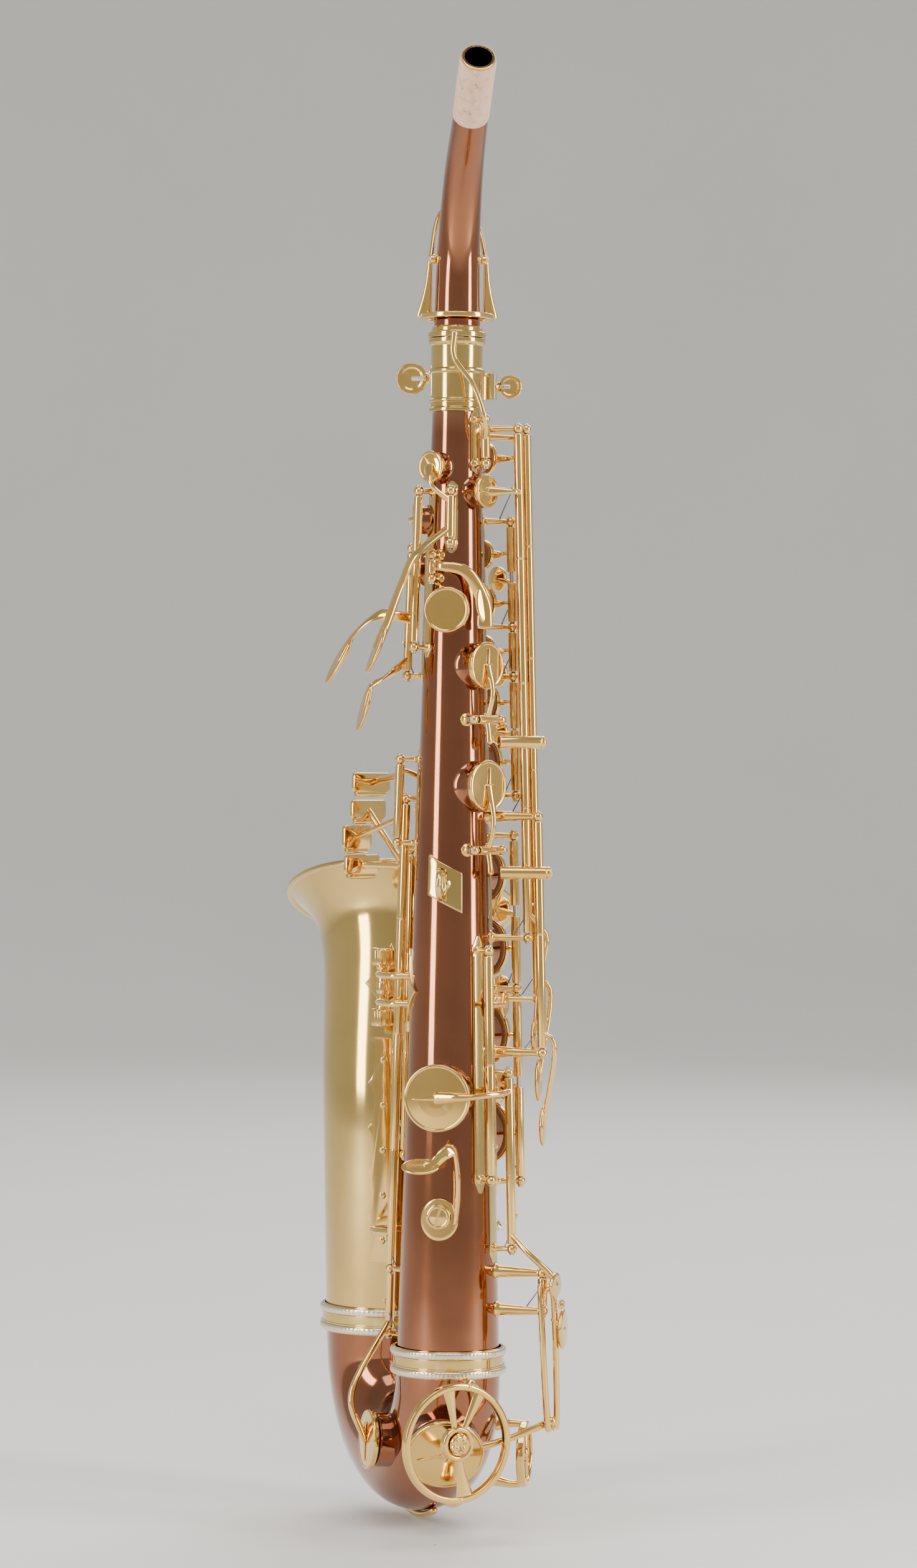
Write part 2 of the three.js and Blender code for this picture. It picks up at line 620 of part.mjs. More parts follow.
// Thumb rest: a round pad in a metal cup.
const THUMB_REST_Z = 136.6;
const THUMB_REST_RADIUS = 11.6;
piece('thumb_rest', turned([
  [0, 0.6], [THUMB_REST_RADIUS - 3, 0.6], [THUMB_REST_RADIUS, 3.4],
  [THUMB_REST_RADIUS, 5.4], [THUMB_REST_RADIUS - 1.2, 6.2], [0, 6.2],
], at(0, tubeRadius(THUMB_REST_Z), THUMB_REST_Z), out(0), 24), gold);

// Thumb hook: an oval base screwed to the tube, and a lip that arches out over the thumb.
const HOOK_Z = -165;
const HOOK_BASE = 1.6;
function hook() {
  const r = tubeRadius(HOOK_Z);
  const base = new THREE.Shape();
  base.absellipse(0, -1.5, 9, 10.5, 0, 2 * Math.PI);
  const lip = (x, reach, z) => at(0, r + reach, HOOK_Z + z).add(vec(x, 0, 0));
  const ribbon = [lip(8.7, 1.8, -3), lip(10.2, 4, 12), lip(10.4, 8, 25), lip(9.4, 13, 34),
    lip(6, 17.5, 33), lip(2, 20.5, 29), lip(-3, 22, 26.5)];
  const arch = bar(ribbon, 1.7);
  const lens = touch(lip(-5.5, 22, 26.5), vec(1, 0, 0), vec(0, -0.6, 0.8), [9.5, 5.6, 1.5]);
  const base3 = wrapped(base, 0, HOOK_Z, HOOK_BASE + 0.8);
  const clearance = cylinder(at(0, 0, HOOK_Z), at(0, r + 20, HOOK_Z), 3.4, 3.4, 12);
  return join(base3, arch, lens).subtract(clearance);
}
piece('thumb_hook', hook(), gold);
const hookFace = tubeRadius(HOOK_Z) + GAP + HOOK_BASE + 0.8;
const screwShank = cylinder(at(0, tubeRadius(HOOK_Z) + GAP, HOOK_Z), at(0, hookFace + 1, HOOK_Z), 3, 3, 12);
const screwHead = turned([[0, 0], [6.3, 0], [6.3, 1.8], [5.4, 3], [0, 3.4]],
  at(0, hookFace + GAP, HOOK_Z), out(0), 20);
const screwSlot = solid(new THREE.BoxGeometry(1.2, 3, 20).rotateY(0.3)
  .translate(0, AXIS_Y - hookFace - 4, HOOK_Z));
piece('hook_screw', join(screwShank, screwHead).subtract(screwSlot), gold);

// Brace between the body tube and the bell, on their left: a foot wrapped on each, two bars
// that pass outside the long rods, and an upright pin with a knurled nut at each end.
const BRACE_Z = -54;
const BRACE_TUBE_AZ = -84;
const BRACE_BELL_AZ = 7.5;
const BRACE_PIN = vec(-40.3, 50.5, BRACE_Z);
const BRACE_NUT = 6;
function brace() {
  const bellCentre = at(BELL_AZ, 2 * BOW_RADIUS, 0);
  const bellSkinAt = (z) => bellRadius((z - BELL_SIDE_Z) / bellLength) + 0.3;
  const bellFoot = (z) => bellCentre.clone()
    .addScaledVector(out(BRACE_BELL_AZ), bellSkinAt(z) + 1.6).setZ(z);
  const bars = [-7, 7].map((up) => BRACE_Z + up).map((z) => bar([
    on(BRACE_TUBE_AZ, 1, z), vec(-30, 24.5, z), vec(-38.5, 35, z),
    BRACE_PIN.clone().setZ(z), bellFoot(z),
  ], 2, 6));
  const upright = (from, to, radius) => cylinder(
    BRACE_PIN.clone().setZ(BRACE_Z + from), BRACE_PIN.clone().setZ(BRACE_Z + to), radius, radius, 10);
  const nuts = [upright(-20, -11, BRACE_NUT), upright(11, 20, BRACE_NUT)];
  return join(bars, upright(-12, 12, 3.4), nuts,
    wrapped(diamond(42, 28), BRACE_TUBE_AZ, BRACE_Z, 1.3),
    wrapped(diamond(42, 26), BRACE_BELL_AZ, BRACE_Z, 1.3, bellCentre, bellSkinAt));
}
piece('bell_brace', brace(), brass);

// ---- keys ---------------------------------------------------------------------------
const HINGE_GAP = POST_TOP + 0.5;     // hinge tubes stop this far from a post's middle
const ARM = 1.5;

const hingePoint = (row, z) => {
  const [az, height] = ROWS[row];
  return on(az, height, z);
};

// How far a key turns about its rod, in degrees, for its cup to rise from its closed place.
function openingAngle(row, cupMiddle, direction, lift) {
  const foot = hingePoint(row, cupMiddle.z);
  const axis = hingePoint(row, cupMiddle.z + 1).sub(foot).normalize();
  const rate = axis.clone().cross(cupMiddle.clone().sub(foot)).dot(direction);
  return { foot, axis, degrees: THREE.MathUtils.radToDeg(lift / rate) };
}

function turnedOpen(body, { foot, axis, degrees }) {
  const turn = new THREE.Matrix4().makeTranslation(foot)
    .multiply(new THREE.Matrix4().makeRotationAxis(axis, rad(degrees)))
    .multiply(new THREE.Matrix4().makeTranslation(foot.clone().negate()));
  return body.transform(turn.elements);
}

// A key: its parts joined to a hinge tube between two heights on a row of posts, with the
// bore for the steel rod cut through all of them. A key that stands open is built closed,
// then turned about its rod.
function key(name, row, from, to, parts, opening) {
  const barrel = cylinder(hingePoint(row, from), hingePoint(row, to), HINGE);
  const bore = cylinder(hingePoint(row, from - 4), hingePoint(row, to + 4), HINGE_BORE);
  const whole = join(barrel, parts).subtract(bore);
  piece(name, opening ? turnedOpen(whole, opening) : whole, gold);
}

// A key cup with its pad, over a hole whose rim is at `rim`.
function cup(rim, direction, radius) {
  const foot = rim.clone().addScaledVector(direction, CLOSED);
  return turned([
    [0, 0], [radius, 0], [radius, 3], [radius - 2, CUP_HEIGHT], [0, CUP_HEIGHT],
  ], foot, direction, radius > 15 ? 12 : 8);
}
function holeCup(name) {
  const hole = HOLES[name];
  const [az, z] = hole;
  return cup(at(az, chimneyTop(hole), z), out(az), cupRadius(hole));
}
const cupTop = (name) => {
  const hole = HOLES[name];
  return at(hole[0], chimneyTop(hole) + CLOSED + CUP_HEIGHT - 0.4, hole[1]);
};

// The arm of a cup: out from its hinge, over the cup's edge, down to its middle.
function cupArm(name, row, z = HOLES[name][1], rise = 3) {
  const from = hingePoint(row, z);
  const to = cupTop(name);
  const middle = lerp(from, to, 0.45).addScaledVector(out(HOLES[name][0]), rise);
  return bar([from, middle, to], ARM);
}

// Main stacks: each key a hinge tube, a cup and an arm; some with a finger pearl.
function stackKey(name, row, from, to, pearlZ) {
  const parts = [holeCup(name), cupArm(name, row)];
  if (pearlZ !== undefined) {
    const base = on(STACK_AZ, 15, pearlZ);
    const foot = hingePoint(row, Math.min(Math.max(pearlZ, from + 3), to - 3));
    parts.push(bar([foot, lerp(foot, base, 0.5).addScaledVector(out(STACK_AZ - 20), 5), base], ARM));
    parts.push(turned([[0, -1], [6.4, 1], [6.4, 2.4], [0, 2.4]], base, out(STACK_AZ), 8));
  }
  const [az, z] = HOLES[name];
  key(name, row, from, to, parts, openingAngle(row, cupTop(name), out(az), LIFT));
}
stackKey('c_key', 'left_stack', 154 + HINGE_GAP, 182 - HINGE_GAP);
stackKey('b_key', 'left_stack', 129 + HINGE_GAP, 154 - HINGE_GAP, 154);
stackKey('bis_key', 'left_stack', 104 + HINGE_GAP, 129 - HINGE_GAP);
stackKey('a_key', 'left_stack', 78, 104 - HINGE_GAP, 106);
stackKey('g_key', 'left_stack', 44 + HINGE_GAP, 77, 76);
stackKey('fsharp_key', 'right_stack', -14 + HINGE_GAP, 24 - HINGE_GAP);
stackKey('f_key', 'right_stack', -53 + HINGE_GAP, -14 - HINGE_GAP, -14);
stackKey('e_key', 'right_stack', -100 + HINGE_GAP, -53 - HINGE_GAP, -54);
stackKey('d_key', 'right_stack', -150 + HINGE_GAP, -100 - HINGE_GAP, -103);

// Palm keys: a cup on the upper tube and a curved touch for the left palm.
function palmKey(name, from, to, armZ, rise, touchPath, size) {
  const start = hingePoint(name, armZ);
  const end = touchPath.at(-1);
  const lengthways = end.clone().sub(touchPath.at(-2));
  key(name, name, from, to, [
    holeCup(name),
    cupArm(name, name, THREE.MathUtils.clamp(HOLES[name][1], from + 3, to - 3), rise),
    bar([start, ...touchPath], 1.8, 4),
    touch(end, lengthways, out(-66), size),
  ]);
}
palmKey('palm_f', 170 + HINGE_GAP, 196 - HINGE_GAP, 178, 7,
  [at(-30, 30, 163), at(-46, 32, 148), at(-56, 36, 131), at(-60, 41, 117)], [13, 6, 1.8]);
palmKey('palm_eflat', 118 + HINGE_GAP, 196 - HINGE_GAP, 132, 2,
  [at(-76, 38, 134), at(-82, 51, 124), at(-84, 58, 112)], [14, 5.5, 1.8]);
palmKey('palm_d', 104 + HINGE_GAP, 168 - HINGE_GAP, 112, 2,
  [at(-78, 33, 104), at(-80, 42, 98), at(-82, 45, 88)], [13, 6.5, 1.8]);

// Octave mechanism: the thumb lever round the thumb rest, and the rocker that lifts the neck key.
const leverPath = [
  hingePoint('octave', 158), on(-4, 9.5, 158), on(26, 9.5, 155), on(48, 9, 141), on(52, 8.5, 128),
];
key('octave_lever', 'octave', 152 + HINGE_GAP, 164 - HINGE_GAP, [
  bar(leverPath, 1.9, 5),
  touch(on(49, 9, 140), leverPath[4].clone().sub(leverPath[3]), out(48), [10, 5, 1.4]),
]);
const PIN_Z = RECEIVER_TOP + 1.5;
key('octave_rocker', 'octave_rocker', 210 + HINGE_GAP, 232 - HINGE_GAP, [
  bar([hingePoint('octave_rocker', 221), at(46, 25, 232), at(34, 22, 248), at(8, 19.5, 262),
    at(8, 19.5, PIN_Z)], 1.4, 5),
]);

// Side keys. The high E cup is on its own long rod; the C and B flat cups turn on
// short cross rods and are driven by a link on each long rod.
function sideTouch(point, length) {
  return touch(point, UP, vec(1, 0, 0), [length / 2, 5.5, 1.9]);
}
const sideEnd = on(92, 21.5, -76);
key('side_e', 'side_e', -27 + HINGE_GAP, 228 - HINGE_GAP, [
  holeCup('side_e'),
  cupArm('side_e', 'side_e', 196, 6),
  bar([hingePoint('side_e', -14), on(92, 28, -25), on(92, 27, -36), on(92, 24, -50), sideEnd], 1.7, 4),
  sideTouch(sideEnd, 18),
]);

function sideCup(name, leverZ) {
  const az = HOLES[name][0];
  const height = CROSS_HEIGHT;
  const pivotZ = CROSS_ROWS[name];
  const middle = on(az, height, pivotZ);
  const end = (turn, reach) => middle.clone().addScaledVector(along(az), turn * reach);
  piece(name, join(
    cylinder(end(-1, CROSS - HINGE_GAP - 0.5), end(1, CROSS - HINGE_GAP - 0.5), HINGE),
    holeCup(name),
    bar([middle, on(az, height + 4, pivotZ + 13), cupTop(name)], ARM, 3),
    bar([middle, on(az, height + 1.5, leverZ)], 1.7),
  ).subtract(cylinder(end(-1, CROSS), end(1, CROSS), HINGE_BORE)), gold);
}
sideCup('side_c', 71);
sideCup('side_bflat', 6);

const LINK = 3.2;             // radius of the cylinder that links a side rod to its cup
function sideRod(name, cupName, from, to, linkZ, linkAz, touchPoint, length) {
  const [rowAz, height] = ROWS[cupName];
  const linkEnds = [on(linkAz, height + 7, linkZ), on(HOLES[cupName][0] + 4, 12.5, linkZ)];
  key(name, cupName, from, to, [
    bar([hingePoint(cupName, linkZ), linkEnds[0]], 1.9),
    cylinder(...linkEnds, LINK),
    sideTouch(touchPoint, length),
    bar([hingePoint(cupName, from + 8), on(rowAz, height + 6.5, from - 1), touchPoint], 1.6, 3),
  ]);
}
sideRod('side_c_rod', 'side_c', -58 + HINGE_GAP, 228 - HINGE_GAP, 71, 86, on(93, 23, -98), 22);
sideRod('side_bflat_rod', 'side_bflat', -84 + HINGE_GAP, 34 - HINGE_GAP, 6, 80, on(90, 25, -121), 20);

// High F sharp and the F sharp trill: a cup, a long rod and a small touch.
key('high_fsharp', 'high_fsharp', 34 + HINGE_GAP, 224 - HINGE_GAP, [
  holeCup('high_fsharp'),
  cupArm('high_fsharp', 'high_fsharp', 214, 3),
  bar([hingePoint('high_fsharp', 42), on(126, 26, 40)], 1.7),
  touch(on(128, 26, 38), UP, out(140), [8, 4.5, 1.7]),
]);
key('fsharp_trill', 'fsharp_trill', -147 + HINGE_GAP, -33 - HINGE_GAP, [
  bar([hingePoint('fsharp_trill', -60), on(72, 10, -60)], 1.6),
  touch(on(74, 9.5, -60), UP, out(74), [7, 4, 1.5]),
]);

// Low E flat: cup on the player's side, arm from the right, touch for the little finger.
const FLAT_TOUCH = on(78, 33, -199);
key('low_eflat_key', 'low_eflat', -182 + HINGE_GAP, -94 - HINGE_GAP, [
  holeCup('low_eflat'),
  bar([hingePoint('low_eflat', -103), on(54, 15, -103.5), on(24, 14.5, -105), on(-2, 9, -106)], 1.7, 5),
  bar([hingePoint('low_eflat', -175), on(72, 21, -183), on(76, 31, -193), FLAT_TOUCH], 1.9, 3),
  touch(FLAT_TOUCH, UP, out(82), [6.5, 8, 1.9]),
]);

// Low C: a large cup on the bow, its rod on long pillars, touch beside the E flat's.
const lowCTop = lowC.top.clone().addScaledVector(lowC.direction, CLOSED + CUP_HEIGHT - 0.4);
const lowCEnd = on(85, 27, -268);
const C_TOUCH = on(85, 34, -221.5);
const rail = (reach, aside, z) => on(85, reach, z).addScaledVector(along(85), aside);
key('low_c_key', 'low_keys', -213 + HINGE_GAP, -194 - HINGE_GAP, [
  bar([hingePoint('low_keys', -204), rail(24, -5.4, -205), rail(26, -5.4, -266), lowCEnd], 1.9, 6),
  bar([hingePoint('low_keys', -204), rail(29.4, 0, -205), rail(30, 0, -266), lowCEnd], 1.9, 6),
  ball(lowCEnd, 3.2),
  cup(lowC.top, lowC.direction, 19.5),
  bar([lowCEnd, lerp(lowCEnd, lowCTop, 0.5).addScaledVector(out(44), 4.5), lowCTop], 1.9, 3),
  touch(C_TOUCH, UP, out(82), [10, 8, 1.9]),
  bar([rail(29.4, 0, -217), C_TOUCH], 1.8),
], openingAngle('low_keys', lowCTop, lowC.direction, LIFT));

// Bell keys and their left-hand table: long rods between tube and bell.
function tableKey(name, row, from, to, cupParts, armFrom, armPath, touchAt, size, opening) {
  key(name, row, from, to, [
    cupParts,
    bar([hingePoint(row, armFrom), ...armPath], 2, 2 * armPath.length),
    bar([hingePoint(row, to - 6), touchAt], 1.9, 1),
    plate(roundedBox(...size), 2.6, touchAt.clone().addScaledVector(out(-118), -1.3), out(-118)),
  ], opening);
}
function roundedBox(width, height) {
  const shape = new THREE.Shape();
  const w = width / 2;
  const h = height / 2;
  const r = 2.5;
  shape.moveTo(r - w, -h);
  shape.lineTo(w - r, -h);
  shape.lineTo(w, r - h);
  shape.lineTo(w, h - r);
  shape.lineTo(w - r, h);
  shape.lineTo(r - w, h);
  shape.lineTo(-w, h - r);
  shape.lineTo(-w, r - h);
  shape.closePath();
  return shape;
}
const cupAt = (hole, radius) => cup(hole.top, hole.direction, radius);
const topOf = (hole) =>
  hole.top.clone().addScaledVector(hole.direction, CLOSED + CUP_HEIGHT - 0.4);
const risen = (row, hole) => openingAngle(row, topOf(hole), hole.direction, LIFT);
tableKey('low_csharp_key', 'table_csharp', -230 + HINGE_GAP, 17 - HINGE_GAP,
  cupAt(lowCSharp, 15), -224,
  [topOf(lowCSharp).add(vec(-6, -3, 24)), topOf(lowCSharp)],
  at(-124, 62, 36), [26, 10]);
tableKey('low_b_key', 'table_b', -196 + HINGE_GAP, 42 - HINGE_GAP,
  cupAt(lowB, 21.5), -178,
  [at(-112, 46, -178), at(-126, 51, -178), at(180, 52, -178), at(172, 66, -178), topOf(lowB)],
  at(-114, 62, 22), [20, 12], risen('table_b', lowB));
tableKey('low_bflat_key', 'table_bflat', -140 + HINGE_GAP, 16 - HINGE_GAP,
  cupAt(lowBFlat, 22.5), -112,
  [at(-150, 48, -112), at(176, 50, -112), at(170, 66, -112), topOf(lowBFlat)],
  at(-118, 61, 8), [24, 10], risen('table_bflat', lowBFlat));
const gsharpTouch = at(-122, 58, 50);
key('gsharp_key', 'gsharp', 20 + HINGE_GAP, 62 - HINGE_GAP, [
  holeCup('gsharp_key'),
  bar([hingePoint('gsharp', 56), on(-112, 16, 57), on(-138, 15, 52), cupTop('gsharp_key')], ARM, 4),
  bar([hingePoint('gsharp', 54), gsharpTouch], 1.9, 1),
  plate(roundedBox(28, 10), 2.6, gsharpTouch.clone().addScaledVector(out(-118), -1.3), out(-118)),
]);

// ---- guards -------------------------------------------------------------------------
// The plate over the low keys' rods, on the bell: its left edge is cut in scallops.
const GUARD_HEIGHT = 116;
const GUARD_WIDTH = 13;
const GUARD_SCALLOPS = 5;
const GUARD_AZ = 4;
const GUARD_Z = -139;

function scalloped() {
  const shape = new THREE.Shape();
  const half = GUARD_HEIGHT / 2;
  const right = GUARD_WIDTH / 2;
  const pitch = GUARD_HEIGHT / GUARD_SCALLOPS;
  shape.moveTo(right - 2, half);
  shape.lineTo(right, half - 3);
  shape.lineTo(right, 3 - half);
  shape.lineTo(right - 2, -half);
  for (let i = 0; i < GUARD_SCALLOPS; i += 1) {
    const low = i * pitch - half;
    shape.lineTo(-right + 1, low);
    shape.quadraticCurveTo(-right + 7, low + pitch / 2, -right + 1, low + pitch);
  }
  shape.closePath();
  return shape;
}
const bellAt = (z) => bellPlace((z - BELL_SIDE_Z) / bellLength).point;
const bellSkin = (z) => bellRadius((z - BELL_SIDE_Z) / bellLength);
const guardPoint = (z, gap) => bellAt(z).addScaledVector(out(GUARD_AZ), bellSkin(z) + gap);
const guardFace = plate(scalloped(), 1.4, guardPoint(GUARD_Z, 7).setZ(GUARD_Z), out(GUARD_AZ));
const guardFeet = [-50, 0, 50].map((z) => cylinder(
  guardPoint(GUARD_Z + z, 0.7).add(vec(2.5, 0, 0)),
  guardPoint(GUARD_Z, 8).setZ(GUARD_Z + z).add(vec(2.5, 0, 0)), 2.4));
piece('bell_key_guard', join(guardFace, guardFeet), gold);

// The ring guard over the low C cup: a ring, three spokes, a hub for the felt, two feet.
const C_GUARD_AZ = 40;
const cGuardNormal = out(C_GUARD_AZ);
const cGuard = lowC.centre.clone()
  .addScaledVector(cGuardNormal, 49)
  .addScaledVector(along(C_GUARD_AZ), -20)
  .add(vec(0, 0, -7));
const onGuard = (angle, r, lift = 0) => cGuard.clone()
  .addScaledVector(along(C_GUARD_AZ), r * Math.cos(rad(angle)))
  .add(vec(0, 0, r * Math.sin(rad(angle))))
  .addScaledVector(cGuardNormal, lift);
const GUARD_RING = 28;
function guardRing(point, normal, r, sides = 20) {
  return turned([[r - 1.7, -1], [r + 1.7, -1], [r + 1.7, 3], [r - 1.7, 3], [r - 1.7, -1]],
    point, normal, sides);
}
const HUB = 8.6;
const FELT = 5.4;
const feltHole = cylinder(onGuard(0, 0, -4), onGuard(0, 0, 12), FELT + GAP, FELT + GAP, 12);
piece('low_c_guard', join(
  guardRing(cGuard, cGuardNormal, GUARD_RING),
  cylinder(onGuard(0, 0, -0.5), onGuard(0, 0, 4), HUB, HUB, 14),
  [62, 100, -80].map((angle) => bar([onGuard(angle, 6, 1.3), onGuard(angle, GUARD_RING, 1.3)], 1.8)),
  bar([onGuard(78, GUARD_RING, 1), lowC.centre.clone().addScaledVector(out(34), 35).setZ(-249)], 2.4),
  bar([onGuard(-86, GUARD_RING, 1), onGuard(-80, GUARD_RING + 4, -16)], 2.4),
).subtract(feltHole), gold);
piece('low_c_felt', cylinder(onGuard(0, 0, -3), onGuard(0, 0, 6), FELT, FELT, 12), felt);

// A second guard on the right of the bow.
const SIDE_GUARD_AZ = 92;
const sideGuard = bowPlace(0.26).point.clone().addScaledVector(out(SIDE_GUARD_AZ), 44).setZ(-288);
const sideFoot = (z) => bowPlace(0.26).point.clone().addScaledVector(out(SIDE_GUARD_AZ), 31).setZ(z);
piece('bow_side_guard', join(
  guardRing(sideGuard, out(SIDE_GUARD_AZ), 15, 16),
  cylinder(sideGuard, sideGuard.clone().addScaledVector(out(SIDE_GUARD_AZ), 3), 4, 4, 8),
  [60, -60, 180].map((angle) => bar([
    sideGuard.clone().addScaledVector(out(SIDE_GUARD_AZ), 1.3),
    sideGuard.clone().addScaledVector(out(SIDE_GUARD_AZ), 1.3)
      .addScaledVector(along(SIDE_GUARD_AZ), 15 * Math.cos(rad(angle)))
      .add(vec(0, 0, 15 * Math.sin(rad(angle))))], 1.5)),
  [1, -1].map((turn) => bar(
    [sideGuard.clone().add(vec(1, 0, 15 * turn)), sideFoot(-288 + 14 * turn)], 1.8)),
), gold);

// A strip that guards the underside of the bow.
const stripPath = [];
for (let i = 0; i <= 4; i += 1) {
  const s = 0.36 + 0.05 * i;
  const { point, heading } = bowPlace(s);
  const down = heading.clone().cross(along(BELL_AZ));
  if (down.z > 0) down.negate();
  stripPath.push(point.addScaledVector(down, bowRadius(s) + 2.4));
}
piece('bow_strip', bar(stripPath, 2, 6), gold);

// Lyre holder in front of the receiver, and its thumb screw.
const LYRE = vec(14.5, AXIS_Y + 13.5, 250);
piece('lyre_holder', solid(new THREE.BoxGeometry(6, 7, 13).translate(LYRE.x, LYRE.y, LYRE.z))
  .subtract(cylinder(LYRE.clone().add(vec(-6, 0, 0)), LYRE.clone().add(vec(6, 0, 0)), 2.1, 2.1, 8)), brass);
thumbScrew('lyre_screw', LYRE.clone().add(vec(10.5, 0, 0)), LYRE.clone(), 6);

// Rollers at the edges of the little fingers' touches.
const ROLLER = 1.8;
function roller(name, a, b) {
  piece(name, cylinder(a, b, ROLLER, ROLLER, 8), gold);
}
const acrossTouch = (point, z) => [-6, 6].map((x) =>
  point.clone().addScaledVector(out(10), x).setZ(z));
roller('roller_eflat', ...acrossTouch(on(80, 35.5, -208), -208.4));

export default group;
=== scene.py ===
"""Alto saxophone seen from the player's side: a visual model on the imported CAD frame."""
import json
import math

import bmesh
import bpy
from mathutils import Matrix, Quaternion, Vector


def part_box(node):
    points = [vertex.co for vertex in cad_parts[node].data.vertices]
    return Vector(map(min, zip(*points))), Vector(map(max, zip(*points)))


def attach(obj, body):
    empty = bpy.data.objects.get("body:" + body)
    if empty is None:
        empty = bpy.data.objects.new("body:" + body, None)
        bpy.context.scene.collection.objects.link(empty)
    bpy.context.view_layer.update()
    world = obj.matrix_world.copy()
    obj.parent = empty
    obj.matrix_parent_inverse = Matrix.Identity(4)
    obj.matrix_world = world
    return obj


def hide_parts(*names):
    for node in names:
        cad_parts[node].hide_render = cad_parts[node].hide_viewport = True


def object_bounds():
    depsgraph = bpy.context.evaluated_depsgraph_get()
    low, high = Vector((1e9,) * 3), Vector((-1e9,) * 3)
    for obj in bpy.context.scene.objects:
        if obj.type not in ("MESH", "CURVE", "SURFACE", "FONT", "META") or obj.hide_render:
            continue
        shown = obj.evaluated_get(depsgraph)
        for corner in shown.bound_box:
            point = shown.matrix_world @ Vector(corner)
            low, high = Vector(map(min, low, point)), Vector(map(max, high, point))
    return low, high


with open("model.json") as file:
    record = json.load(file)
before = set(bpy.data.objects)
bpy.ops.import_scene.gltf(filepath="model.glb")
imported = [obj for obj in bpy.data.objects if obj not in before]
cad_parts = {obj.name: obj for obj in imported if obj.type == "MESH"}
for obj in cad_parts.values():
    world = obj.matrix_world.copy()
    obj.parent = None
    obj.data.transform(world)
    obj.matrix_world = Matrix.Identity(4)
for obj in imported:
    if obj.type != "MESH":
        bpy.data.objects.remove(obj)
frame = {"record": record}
CAD_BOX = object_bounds()

MM = 0.001
BODY_OF = {node: body for body, nodes in frame["record"]["behaviour"]["bodies"].items()
           for node in nodes}

# ---- driving dimensions, in millimetres, as in the CAD ----
AXIS_Y = 28
TUBE_TOP = 236
TUBE_BOTTOM = -242
TUBE_TOP_RADIUS = 12.1
TAPER = 0.029
WALL = 1
RIM = 1.2
CHIMNEY = 4
BOW_RADIUS = 49
BOW_ARC_Z = -244.5
BELL_SIDE_Z = -229
BELL_AZ = -150
BELL_BASE_RADIUS = 33
BELL_TOP_RADIUS = 38
BELL_RIM_RADIUS = 60
BELL_STRAIGHT_TOP = -130
BELL_LEAN = math.radians(22)
BELL_BEND = 312
FLARE_LENGTH = 13
RECEIVER_TOP = 273
RECEIVER_RADIUS = 13
NECK_AZ = 17.5
NECK_RISE = 15
NECK_BEND = 95
NECK_TURN = math.radians(54)
NECK_END = 60
NECK_BASE_RADIUS = 11.8
NECK_TIP_RADIUS = 7.7
CORK_LENGTH = 40
CORK_RADIUS = 9
POST_BALL = 2.6
ROD = 1.1
HINGE = 2.3
LONG_POST = 24
ROLLER_AZ = 10
HOLE_EASE = 0.3
CUP_TOP = 4.2
CUP_REACH = 2.5
WELD = 2e-7
CREASE = math.radians(38)
UP = Vector((0, 0, 1))
DOWN = Vector((0, 0, -1))
RIGHT = Vector((1, 0, 0))
AXIS = Vector((0, AXIS_Y, 0))

# ---- camera: level, slightly to the right of the strap ring ----
CAMERA_AZ = 11.5
CAMERA_DISTANCE = 2.15
CAMERA_HEIGHT = 0.061
CAMERA_ROLL = math.radians(0.5)
AIM_HEIGHT = 0.0498
AIM_ASIDE = 0.0027
FILM_HEIGHT = 36
FOCAL_LENGTH = 98.3
CLIP_END = 50
PAPER = (0.74, 0.73, 0.71)


def linked(thing):
    bpy.context.scene.collection.objects.link(thing)
    return thing


def out(az):
    a = math.radians(az)
    return Vector((math.sin(a), -math.cos(a), 0))


def along(az):
    a = math.radians(az)
    return Vector((math.cos(a), math.sin(a), 0))


def at(az, r, z):
    return out(az) * r + Vector((0, AXIS_Y, z))


def tube_radius(z):
    return TUBE_TOP_RADIUS + TAPER * (TUBE_TOP - z)


def on(az, height, z):
    return at(az, tube_radius(z) + height, z)


eye = out(CAMERA_AZ) * CAMERA_DISTANCE + Vector((0, AXIS_Y * MM, CAMERA_HEIGHT))
aim = Vector((0, AXIS_Y * MM, AIM_HEIGHT)) + along(CAMERA_AZ) * AIM_ASIDE
lens = bpy.data.cameras.new("camera")
lens.sensor_fit = "VERTICAL"
lens.sensor_height = FILM_HEIGHT
lens.lens = FOCAL_LENGTH
lens.clip_end = CLIP_END
camera = linked(bpy.data.objects.new("camera", lens))
camera.location = eye
level = (aim - eye).to_track_quat("-Z", "Y")
camera.rotation_euler = (level @ Quaternion((0, 0, 1), CAMERA_ROLL)).to_euler()
bpy.context.scene.camera = camera


# ---- materials ----
def new_material(name, metallic=0.0, roughness=0.4, coat=0.0):
    material = bpy.data.materials.new(name)
    material.use_nodes = True
    nodes = material.node_tree.nodes
    shader = nodes["Principled BSDF"]
    shader.inputs["Metallic"].default_value = metallic
    shader.inputs["Roughness"].default_value = roughness
    shader.inputs["Coat Weight"].default_value = coat
    shader.inputs["Coat Roughness"].default_value = 0.04
    return material, nodes, material.node_tree.links, shader


def add(nodes, kind, **values):
    node = nodes.new(kind)
    for name, value in values.items():
        if name in node.inputs:
            node.inputs[name].default_value = value
        else:
            setattr(node, name, value)
    return node


def coordinates(nodes, links, scale=(1, 1, 1)):
    place = add(nodes, "ShaderNodeMapping")
    place.inputs["Scale"].default_value = scale
    links.new(nodes.new("ShaderNodeTexCoord").outputs["Object"], place.inputs["Vector"])
    return place.outputs["Vector"]


